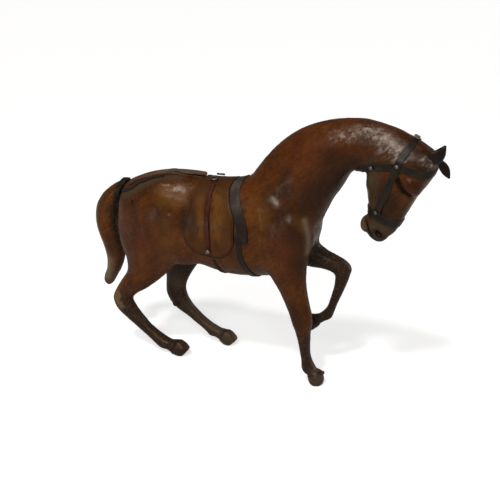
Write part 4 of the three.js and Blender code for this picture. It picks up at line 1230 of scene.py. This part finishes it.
def worn_metal(name, groups):
    """Dull nickel: bright where rubbed, brown where tarnish stays."""
    material, tree, grain, patina = start_material(name, groups, cells=900.0, wrinkles=200.0, size=260.0)
    colour = mixed(tree, patina["Cloud"], tone("7b766d"), tone("4b433b"))
    principled = tree.nodes["Principled BSDF"]
    tree.links.new(colour, principled.inputs["Base Color"])
    roughness = ranged(tree, patina["Mottle"], 0.0, 1.0, 0.28, 0.5)
    tree.links.new(roughness, principled.inputs["Roughness"])
    bump = put(tree, "ShaderNodeBump", {"Height": patina["Mottle"], "Distance": 0.00008})
    tree.links.new(bump.outputs[0], principled.inputs["Normal"])
    principled.inputs["Metallic"].default_value = 0.9
    return material


def pale_floor(name):
    """A plain matt floor with a faint glow that only the camera sees, so that it stays pale
    around the shadow."""
    material = bpy.data.materials.new(name)
    material.use_nodes = True
    tree = material.node_tree
    principled = tree.nodes["Principled BSDF"]
    principled.inputs["Base Color"].default_value = tone("d2d1cf")
    principled.inputs["Roughness"].default_value = 0.8
    principled.inputs["Specular IOR Level"].default_value = 0.1
    principled.inputs["Emission Color"].default_value = (1.0, 1.0, 0.995, 1.0)
    seen = put(tree, "ShaderNodeLightPath").outputs["Is Camera Ray"]
    tree.links.new(math(tree, "MULTIPLY", seen, FLOOR_GLOW), principled.inputs["Emission Strength"])
    return material


# The horse's own surfaces

def horse_skin():
    """One grid for the whole horse, closer together at the head, and the forms of its skin."""
    axes = (
        spaced(*GRID_X, FINE_X, COARSE_STEP, FINE_STEP),
        np.linspace(*GRID_Y),
        spaced(*GRID_Z, FINE_Z, COARSE_STEP, FINE_STEP),
    )
    limbs = [Limb(*limb, bands=BANDS.get(index, ())) for index, limb in enumerate(LIMBS)]
    lumps = [Lump(*item, side=side) for item in CARVING for side in (1, -1)]
    return axes, limbs + [Lump(*CHIN)] + lumps


def body_parts(axes, values, fine_lumps):
    """The skin with its fine carving and a gentle unevenness, cut flat at the floor."""
    carved = blend(values.copy(), fine_lumps, axes)
    near = np.argwhere(np.abs(carved) < RELIEF_DEPTH)
    places = np.stack([axis[index] for axis, index in zip(axes, near.T)], 1)
    carved[tuple(near.T)] -= relief(places)
    carved = np.maximum(carved, FLOOR_LEVEL - axes[2][None, None, :])
    points, quads = surface_nets(axes, carved)
    skin = Skin(axes, carved)
    for _ in range(SURFACE_ROUNDS):
        slope = skin.read(skin.slopes, points)
        steepness = np.maximum((slope ** 2).sum(1), LEAST_SURFACE_STEEPNESS)
        points = points - slope * (skin.distance(points) / steepness)[:, None] * SURFACE_STEP
    points[:, 2] = np.maximum(points[:, 2], FLOOR_LEVEL)
    return points, quads


def relief(places):
    """Height of the fine relief: hand-shaped unevenness, and grooves and ridges along lines."""
    height = sum(rise * uneven(places, size, seed) for rise, size, seed in UNEVENNESS)
    mirrored = places * (1, -1, 1)
    for line in CORONETS:
        height = height - CORONET_DEPTH * beside_line(places, line, CORONET_REACH)
    for line, reach, rise in RELIEF:
        for side in (places, mirrored):
            height = height + rise * beside_line(side, line, reach)
    return height


# Waves of unevenness: height, size and seed
UNEVENNESS = ((0.34, 26, 3), (0.2, 11, 5), (0.05, 5, 9))

# Swells and rings on the limbs, by limb number: station, width and height
BANDS = {
    3: ((13.0, 0.8, 0.5), (15.4, 0.35, 0.5), (15.9, 0.25, -0.4)),
    4: ((12.0, 0.8, 0.5), (14.4, 0.35, 0.5), (14.9, 0.25, -0.4)),
    5: ((13.5, 0.8, 0.5), (16.3, 0.35, 0.5), (16.8, 0.25, -0.4)),
    6: ((12.5, 0.8, 0.5), (15.3, 0.35, 0.5), (15.8, 0.25, -0.4)),
}

# Lines of relief on the right side, given to both: places, reach and height, where they are
# measured in the side view alone
EYE_SLIT = [(177.5, -22, 275), (178.6, -22, 270), (181, -22, 265), (184.5, -21, 260.5), (190.5, -18, 256)]
MOUTH = [(140.5, -8, 218), (143, -10, 213), (146, -12, 208), (149, -14, 205), (150.5, -14, 201)]
HAUNCH_HOLE = [(-157.2, -39, 213.5), (-156.2, -39, 213.2)]
RELIEF = [
    (EYE_SLIT, 2.3, -3.0),
    ([(174.5, -22, 274), (178, -22, 265), (182, -21, 259)], 1.8, 0.6),  # the fold before the eye
    (MOUTH, 1.3, -1.7),
    ([(190, -19, 250), (177, -17, 232), (169, -15, 219)], 3.5, 0.8),  # cheek bone
    ([(166, -20, 252), (158, -18, 240), (152, -16, 232)], 5.0, -0.9),  # hollow of the cheek
    ([(146, -19, 262), (150, -21, 275)], 3.5, -0.7),  # behind the jaw
    ([(-82, -40, 178), (-92, -40, 158), (-104, -38, 142)], 4.0, -0.9),  # flank fold
    ([(16, -30, 236), (34, -34, 214), (46, -36, 194), (44, -38, 174)], 6.0, -0.7),  # shoulder blade
    ([(40, -30, 232), (58, -34, 208), (66, -32, 192)], 7.0, 0.9),
    ([(30, -38, 164), (40, -37, 152), (44, -36, 140)], 3.5, -0.8),  # elbow fold
    ([(112, -18, 252), (98, -22, 236), (88, -24, 220)], 5.0, -0.8),  # groove of the throat
    ([(-128, -44, 196), (-116, -44, 172), (-118, -42, 150)], 9.0, 0.6),  # thigh
]


def line_marks(points, lines):
    """For each name, the largest nearness to any of its lines, given to both sides."""
    sides = (points, points * (1, -1, 1))
    return {
        name: np.max([near_line(side, line, reach) for line, reach in group for side in sides], axis=0)
        for name, group in lines.items()
    }


# Where each hoof starts, on its own side
CORONETS = [
    [(101, -25, 20.5), (80, -25, 12)],
    [(-103.5, -25, 23), (-115, -25, 1)],
    [(-56.5, 28, 23), (-68, 28, 5)],
    [(81, 26, 59), (69.5, 26, 72)],
]
CORONET_REACH = 1.5
CORONET_DEPTH = 0.8
CORONET_DARKENING = 0.8

# Grooves darkened near black, on both sides: places and reach
GROOVES = ((EYE_SLIT, 2.7), (MOUTH, 2.2), (HAUNCH_HOLE, 2.4))


def horse_marks(points):
    """Where the leather is dark, drab and so on, and where shade and highlights are painted on it,
    from 0 to 1 at each point. Lines in ONE_SIDED and CORONETS hold for the side on which they
    are written, and the rest for both."""
    marks = line_marks(points, BOTH_SIDED)
    for name, group in ONE_SIDED.items():
        here = np.max([near_line(points, line, reach) for line, reach in group], axis=0)
        marks[name] = np.maximum(marks[name], here)
    sides = (points, points * (1, -1, 1))
    groove_darkening = [beside_line(side, line, reach) for line, reach in GROOVES for side in sides]
    groove_darkening += [CORONET_DARKENING * beside_line(points, line, CORONET_REACH) for line in CORONETS]
    marks["pit"] = np.max([marks["pit"]] + groove_darkening, axis=0)
    return marks


# Lines of stain, wear, painted shade and painted highlights: places and reach
ONE_SIDED = {
    # Dark lower legs, a stain; on the far legs partly painted shade
    "dark": [
        ([(-180, -25, 60), (-157, -25, 38), (-131, -25, 15), (-96, -25, 6)], 22),
        ([(-125, 28, 120), (-133, 28, 65), (-96, 28, 30), (-50, 28, 8)], 34),
        ([(40, 20, 160), (98, 26, 145), (107, 26, 130), (96, 26, 80), (60, 26, 52)], 26),
        ([(72, -25, 52), (76, -25, 30), (93, -25, 5)], 24),
    ],
    "worn": [([(-190, -34, 80), (-191, -34, 70), (-186, -34, 62)], 6)],
    "pale": [
        ([(-128, 28, 128), (-132, 28, 88)], 12),
        ([(-128, 28, 60), (-96, 28, 30), (-62, 28, 14)], 6),
        ([(-58, 28, 12), (-50, 28, 8)], 8),
        ([(93, -25, 12), (93, -25, 3)], 9),
    ],
}
BOTH_SIDED = {
    # Painted shade under the neck and the chin, at the tail's root and down the tail's inner side; also
    # darker around the ears' roots
    "dark": [
        ([(208, -10, 290), (220, -8, 300)], 12),
        ([(92, 0, 215), (112, -4, 250), (128, -6, 270)], 12),
        ([(165, 0, 200), (150, 0, 200)], 9),
        ([(-188, 0, 230), (-193, -6, 214), (-190, -6, 196)], 9),
        ([(-200, -6, 204), (-204, -9, 184), (-204, -9, 160), (-199, -8, 138)], 7),
    ],
    "drab": [
        ([(-90, 0, 125), (-40, 0, 120), (20, 0, 120)], 32),
        ([(76, 0, 196), (66, 0, 160)], 18),
        ([(148, -12, 208), (165, -12, 206)], 17),
        ([(146, -17, 240), (146, -19, 262), (148, -20, 282)], 10),
        ([(-218, -8, 118), (-223, -6, 84)], 12),
        ([(216, 0, 290), (200, 0, 255), (180, 0, 215)], 12),
        ([(-100, -14, 248), (-140, -27, 238), (-170, -32, 222)], 8),
        ([(-186, -22, 200), (-188, -22, 170), (-182, -22, 140)], 8),
        ([(-60, -8, 248), (-30, -8, 249)], 14),
        ([(-225, -6, 215), (-236, -6, 190), (-236, -6, 160), (-228, -6, 120)], 10),
    ],
    "gold": [
        ([(-58, -26, 234), (-55, -32, 224)], 9),
        ([(66, -34, 218), (72, -30, 196), (70, -30, 170)], 7),
        ([(-110, -44, 190), (-106, -43, 168)], 12),
        ([(-110, -38, 226), (-86, -36, 226)], 14),
        ([(16, -34, 228), (24, -36, 206)], 12),
    ],
    "plum": [
        ([(-74, -32, 222), (-74, -38, 200)], 7),
        ([(-152, -41, 208), (-150, -42, 178)], 9),
        ([(-134, -43, 204), (-132, -43, 176)], 7),
        ([(-116, -44, 205), (-110, -44, 180)], 8),
        ([(46, -36, 222), (32, -36, 196)], 8),
        ([(-60, -41, 168), (-20, -41, 165)], 8),
    ],
    "red": [
        ([(190, -22, 268), (196, -20, 262)], 9),
        ([(160, -22, 272), (168, -22, 284)], 8),
        ([(60, -26, 290), (100, -22, 304)], 16),
        ([(-140, -40, 160), (-120, -40, 175)], 16),
        ([(55, -38, 190), (58, -36, 160)], 16),
    ],
    "worn": [
        ([(136, -3, 216), (138, -5, 208)], 6.5),
        ([(-98.3, -40.5, 228.5), (-105.3, -30, 224.6)], 1.7),
        ([(-101, -42, 205)], 2.0),
    ],
    "pale": [
        ([(-217, -9, 114), (-223, -8, 90)], 8),
        ([(214, -5, 288), (207, -8, 270)], 5),
        ([(74, -30, 216), (78, -27, 198), (78, -27, 176)], 4),
        ([(-187, -20, 205), (-190, -20, 180), (-188, -20, 155)], 4),
        ([(200, -9, 250), (190, -8, 230)], 4),
    ],
    # Partly dark stain, on the crown, eye mound and flank, and partly painted shade, on the lower neck,
    # chest, throat and cheek
    "deep": [
        ([(66, -30, 230), (88, -27, 250), (112, -23, 272)], 27),
        ([(30, -34, 236), (50, -30, 252)], 14),
        ([(42, -29, 256), (50, -28, 269)], 9),
        ([(66, -36, 100), (70, -36, 84)], 12),
        ([(186, -23, 270), (198, -19, 268)], 9),
        ([(145, -14, 300), (150, -18, 285), (140, -15, 278)], 12),
        ([(62, -36, 200), (74, -30, 190), (70, -32, 160)], 16),
        ([(135, -14, 320), (165, -18, 312), (200, -14, 300), (205, -14, 288)], 19),
        ([(160, -20, 262), (172, -18, 240), (160, -15, 215)], 18),
        ([(-83, -39, 214), (-83, -41, 190)], 6),
        ([(100, -24, 292), (128, -22, 290)], 17),
    ],
    # Painted highlights: whitish streaks on the crest, the poll and the forehead, and a spot on the croup
    "painted_sheen": [
        ([(133, -15, 323), (152, -15, 321), (160, -17, 315)], 8),
        ([(163, -20, 309), (178, -20, 300)], 9.5),
        ([(203, -14, 296), (209, -12, 292)], 4.5),
        ([(104, -17, 316), (122, -17, 318)], 6),
        ([(-88, -28, 237)], 4),
    ],
    # Painted highlights: pale spots on the shoulder, the crest and the croup
    "gloss": [
        ([(33, -30, 237), (39, -31, 233)], 4),
        ([(56, -33.5, 217)], 4),
        ([(162, -16, 317), (174, -18, 308)], 7),
        ([(-92, -27, 238), (-86, -30, 235)], 4),
    ],
    "pit": [
        ([(155.5, -13.5, 208.5), (161, -13.5, 204.5)], 6),
    ],
}
CRUPPER_STAIN = {"red": [([(-157, -12, 239), (-172, -10, 233)], 9)]}
# Darker towards the surcingle's lower end
SURCINGLE_LOWER_DARKENING = {"red": [([(-6, -38, 204), (-3, -40, 196), (-2, -40, 180)], 18)]}
SADDLE_LINES = {
    "stain": [
        # The first two darken the rear edge; the third is a painted shadow down the front edge, beside the
        # surcingle
        ([(-76, -30, 224), (-74, -36, 210), (-76, -39, 192)], 5),
        ([(-70, -36, 214), (-68, -40, 196)], 4),
        ([(-14, -38, 205), (-12, -40, 186)], 5),
    ],
    "gold": [
        ([(-62, -30, 226), (-58, -38, 206), (-57, -40, 184)], 5),
        ([(-41, -27, 233), (-34, -37, 211), (-35, -41, 187)], 8),
    ],
    "pit": [
        ([(-24, -33, 224)], 1.3),
        ([(-22.5, -36, 215)], 1.3),
    ],
}


FURROW_DEPTH = 0.3
FURROW_TURN = 0.75  # radians for each millimetre across the tail
FURROW_WANDER = 0.6  # radians to either side, over the length of the tail
FURROW_WANDER_TURN = 0.05
TAIL_UNEVENNESS = 0.2


def tail_parts():
    """The tail on a grid of its own, with long shallow furrows: a sine wave across it that
    wanders as another sine of the height."""
    values = blended([Limb(*TAIL_LIMB)], TAIL_GRID)
    places = np.stack(np.meshgrid(*TAIL_GRID, indexing="ij"), -1).reshape(-1, 3)
    wander = FURROW_WANDER * np.sin(places[:, 2] * FURROW_WANDER_TURN)
    furrows = FURROW_DEPTH * np.sin(places[:, 1] * FURROW_TURN + wander)
    height = furrows + TAIL_UNEVENNESS * uneven(places, 22, 8)
    values = values - height.reshape(values.shape)
    points, quads = surface_nets(TAIL_GRID, values)
    skin = Skin(TAIL_GRID, values)
    points = points - skin.outwards(points) * skin.distance(points)[:, None] * SURFACE_STEP
    return points, quads


# Camera, light and floor

FLOOR_GLOW = 0.6
FLOOR_REACH = 40.0
SURROUND_STRENGTH = 0.17

CAMERA_AZIMUTH = 23.5  # degrees round from the horse's right side towards its front
CAMERA_ELEVATION = 20.5
CAMERA_DISTANCE = 0.94719
CAMERA_TARGET = (-0.00504, 0.0, 0.156256)
IMAGE_SIZE = 500  # pixels
FOCAL_PIXELS = 745
SENSOR_WIDTH = 36.0


def add_camera():
    azimuth, elevation = np.radians(CAMERA_AZIMUTH), np.radians(CAMERA_ELEVATION)
    back = Vector((
        np.sin(azimuth) * np.cos(elevation), -np.cos(azimuth) * np.cos(elevation), np.sin(elevation),
    ))
    camera = bpy.data.objects.new("camera", bpy.data.cameras.new("camera"))
    camera.data.sensor_width = SENSOR_WIDTH
    camera.data.lens = FOCAL_PIXELS / IMAGE_SIZE * SENSOR_WIDTH
    camera.location = Vector(CAMERA_TARGET) + back * CAMERA_DISTANCE
    camera.rotation_euler = (-back).to_track_quat("-Z", "Y").to_euler()
    bpy.context.scene.collection.objects.link(camera)
    bpy.context.scene.camera = camera


def add_light(name, kind, place, power, target=(0.0, 0.0, 0.17), **settings):
    light = bpy.data.objects.new(name, bpy.data.lights.new(name, kind))
    light.data.energy = power
    for setting, value in settings.items():
        setattr(light.data, setting, value)
    light.location = place
    light.rotation_euler = (Vector(place) - Vector(target)).to_track_quat("Z", "Y").to_euler()
    bpy.context.scene.collection.objects.link(light)


def add_studio():
    """A pale floor, an even pale surround that is white to the camera, and soft lamps."""
    reach = FLOOR_REACH
    corners = [(-reach, -reach, 0), (reach, -reach, 0), (reach, reach, 0), (-reach, reach, 0)]
    mesh = bpy.data.meshes.new("floor")
    mesh.from_pydata(corners, [], [(0, 1, 2, 3)])
    mesh.materials.append(pale_floor("floor_white"))
    floor = bpy.data.objects.new("floor", mesh)
    bpy.context.scene.collection.objects.link(floor)
    world = bpy.data.worlds.new("surround")
    world.use_nodes = True
    tree = world.node_tree
    tree.nodes["Background"].inputs["Color"].default_value = (1.0, 1.0, 1.0, 1.0)
    seen = put(tree, "ShaderNodeLightPath").outputs["Is Camera Ray"]
    strength = ranged(tree, seen, 0.0, 1.0, SURROUND_STRENGTH, 1.0)
    tree.links.new(strength, tree.nodes["Background"].inputs["Strength"])
    bpy.context.scene.world = world
    add_light("key_lamp", "SUN", (-0.06, -0.47, 0.88), 1.35, target=(0.0, 0.0, 0.0), angle=np.radians(8))
    add_light("strip_lamp", "AREA", (0.2, -1.44, 1.23), 15, shape="RECTANGLE", size=1.5, size_y=0.3)
    add_light("low_lamp", "AREA", (-0.75, -1.3, 0.15), 1.0, shape="DISK", size=0.16)
    add_light("far_lamp", "SUN", (1.0, 0.9, 0.45), 0.7, target=(0.0, 0.0, 0.0), angle=np.radians(40))
    bpy.context.scene.view_settings.view_transform = "Standard"


# Putting it together

def add_fitting(node, metal, skin, made, place, lift):
    points, faces = made
    add_piece(node, metal, [(set_square(skin, points, place, lift), faces)])


def add_strap(node, slot, leather, made, **marks):
    part, edge = made
    add_piece(node, leather, [part], {"edge": edge, **marks})


def add_horse(axes, skin, hide, dark_hide):
    fine = [Lump(*item, side=side) for item in FINE_CARVING for side in (1, -1)]
    points, quads = body_parts(axes, skin.values, fine)
    torn = [leaf_parts(line, sideways) for line, sideways in TORN_LEAVES]
    every = np.vstack([points] + [leaf[0] for leaf in torn])
    add_piece("horse_body", hide, [(points, quads.tolist())] + torn, horse_marks(every))
    points, quads = tail_parts()
    add_piece("tail", hide, [(points, quads.tolist())], horse_marks(points))
    for side, (line, sideways) in EARS.items():
        part = leaf_parts(line, sideways)
        add_strap(f"ear_{side}", "dark_hide", dark_hide, (part, np.zeros(len(part[0]))))


def add_straps(axes, skin, groups):
    """The straps in order from the skin outwards, each in the leather of its own stain."""
    black = strap_leather("strap_hide", groups, "17120f", "282019", "30261f", coat=0.15)
    # The surcingle's blush darkens it towards its lower end.
    gloss = strap_leather("surcingle_hide", groups, "332a27", "4c433d", "1a1411", blush="120b0a")
    brown = strap_leather("crupper_hide", groups, "523825", "74553a", "20150f", blush="5a241b")
    red = strap_leather("oxblood_hide", groups, "371510", "4d2014", "150a08")

    made = band(skin, across_middle(SURCINGLE), SURCINGLE_WIDTH)
    add_strap("surcingle", "strap_leather", gloss, made, **line_marks(made[0][0], SURCINGLE_LOWER_DARKENING))
    for node, places, width in (
        ("girth_front", FRONT_GIRTH, FRONT_GIRTH_WIDTH),
        ("girth_rear", REAR_GIRTH, REAR_GIRTH_WIDTH),
        ("bridle_crown", CROWN, BRIDLE_WIDTH),
    ):
        add_strap(node, "strap_leather", black, band(skin, across_middle(places), width))
    for node, places, width in (
        ("bridle_browband", BROWBAND, BROWBAND_WIDTH),
        ("bridle_noseband", NOSEBAND, NOSEBAND_WIDTH),
    ):
        add_strap(node, "strap_leather", black, band(skin, both_sides(places), width, closed=True))

    made = band(skin, CRUPPER, CRUPPER_WIDTH, CRUPPER_REAR_WIDTH)
    add_strap("crupper_strap", "strap_leather", brown, made, **line_marks(made[0][0], CRUPPER_STAIN))
    add_strap("crupper_tongue", "strap_leather", brown, tongue_parts(skin))
    around = dock_skin(axes, skin)
    made = band(around, both_sides(DOCK), DOCK_WIDTH, None, DOCK_THICKNESS, closed=True, base=DOCK_LIFT)
    add_strap("crupper_dock", "strap_leather", black, made)
    for name, fork, stirrup in (
        ("right", FORK, STIRRUP_LEATHER), ("left", other_side(FORK), other_side(STIRRUP_LEATHER)),
    ):
        # The black fork straps also stand for the shade beneath the crupper strap's lower edge.
        made = band(skin, fork, FORK_WIDTH, base=CLEARANCE)
        add_strap(f"crupper_fork_{name}", "strap_leather", black, made)
        made = band(skin, stirrup, STIRRUP_LEATHER_WIDTH, base=ON_SADDLE)
        add_strap(f"stirrup_leather_{name}", "red_leather", red, made)


def dock_skin(axes, skin):
    """The skin of the tail and the body together, around the dock."""
    here = [
        np.flatnonzero((axis > low) & (axis < high))
        for axis, (low, high) in zip(axes, DOCK_SPACE)
    ]
    near = [axis[part] for axis, part in zip(axes, here)]
    body = skin.values[np.ix_(*here)]
    return Skin(near, np.minimum(blended([Limb(*TAIL_LIMB)], near), body))


ON_SADDLE = UNDER_SADDLE + SADDLE_THICKNESS
ON_STRAP = CLEARANCE + STRAP_THICKNESS + CLEARANCE
ON_TWO_STRAPS = ON_STRAP + STRAP_THICKNESS + CLEARANCE


def add_metalwork(skin, metal):
    large, small = stud_head(STUD_RADIUS, STUD_HEIGHT), stud_head(SMALL_STUD_RADIUS, SMALL_STUD_HEIGHT)
    ring = wire_ring(RING_RADIUS, RING_WIRE)
    for side, name in ((1, "right"), (-1, "left")):
        for node, made, (x, y, z), lift in (
            ("stirrup_stud", large, (-46, -41, 165), ON_SADDLE + ON_STRAP),
            ("brow_stud", small, (176, -21.5, 289), ON_TWO_STRAPS),
            ("nose_stud", small, (155.5, -15.5, 234), ON_TWO_STRAPS),
            ("throat_stud", small, (147, -19.5, 286), ON_STRAP + CLEARANCE / 2),
            ("saddle_ring", ring, (-53, -9, 246), ON_SADDLE + CLEARANCE),
        ):
            add_fitting(f"{node}_{name}", metal, skin, made, (x, y * side, z), lift)
    buckle = buckle_frame(BUCKLE_LENGTH, BUCKLE_BREADTH, BUCKLE_BAR)
    parts = [(set_square(skin, points, (190.5, -3, 318), ON_STRAP), faces) for points, faces in buckle]
    add_piece("crown_buckle", metal, parts)


def main():
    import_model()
    groups = {"grain": grain_group(), "patina": patina_group()}
    hide = hide_leather("cognac_hide", groups)
    dark_hide = strap_leather("ear_hide", groups, "140f0d", "261a14", "2a1e17")
    saddle_hide = saddle_leather("saddle_hide", groups)

    axes, forms = horse_skin()
    skin = Skin(axes, blended(forms, axes))
    add_horse(axes, skin, hide, dark_hide)
    part, marks = saddle_parts(skin)
    add_piece("saddle", saddle_hide, [part], marks)
    add_straps(axes, skin, groups)
    add_metalwork(skin, worn_metal("dull_nickel", groups))

    add_studio()
    add_camera()


main()
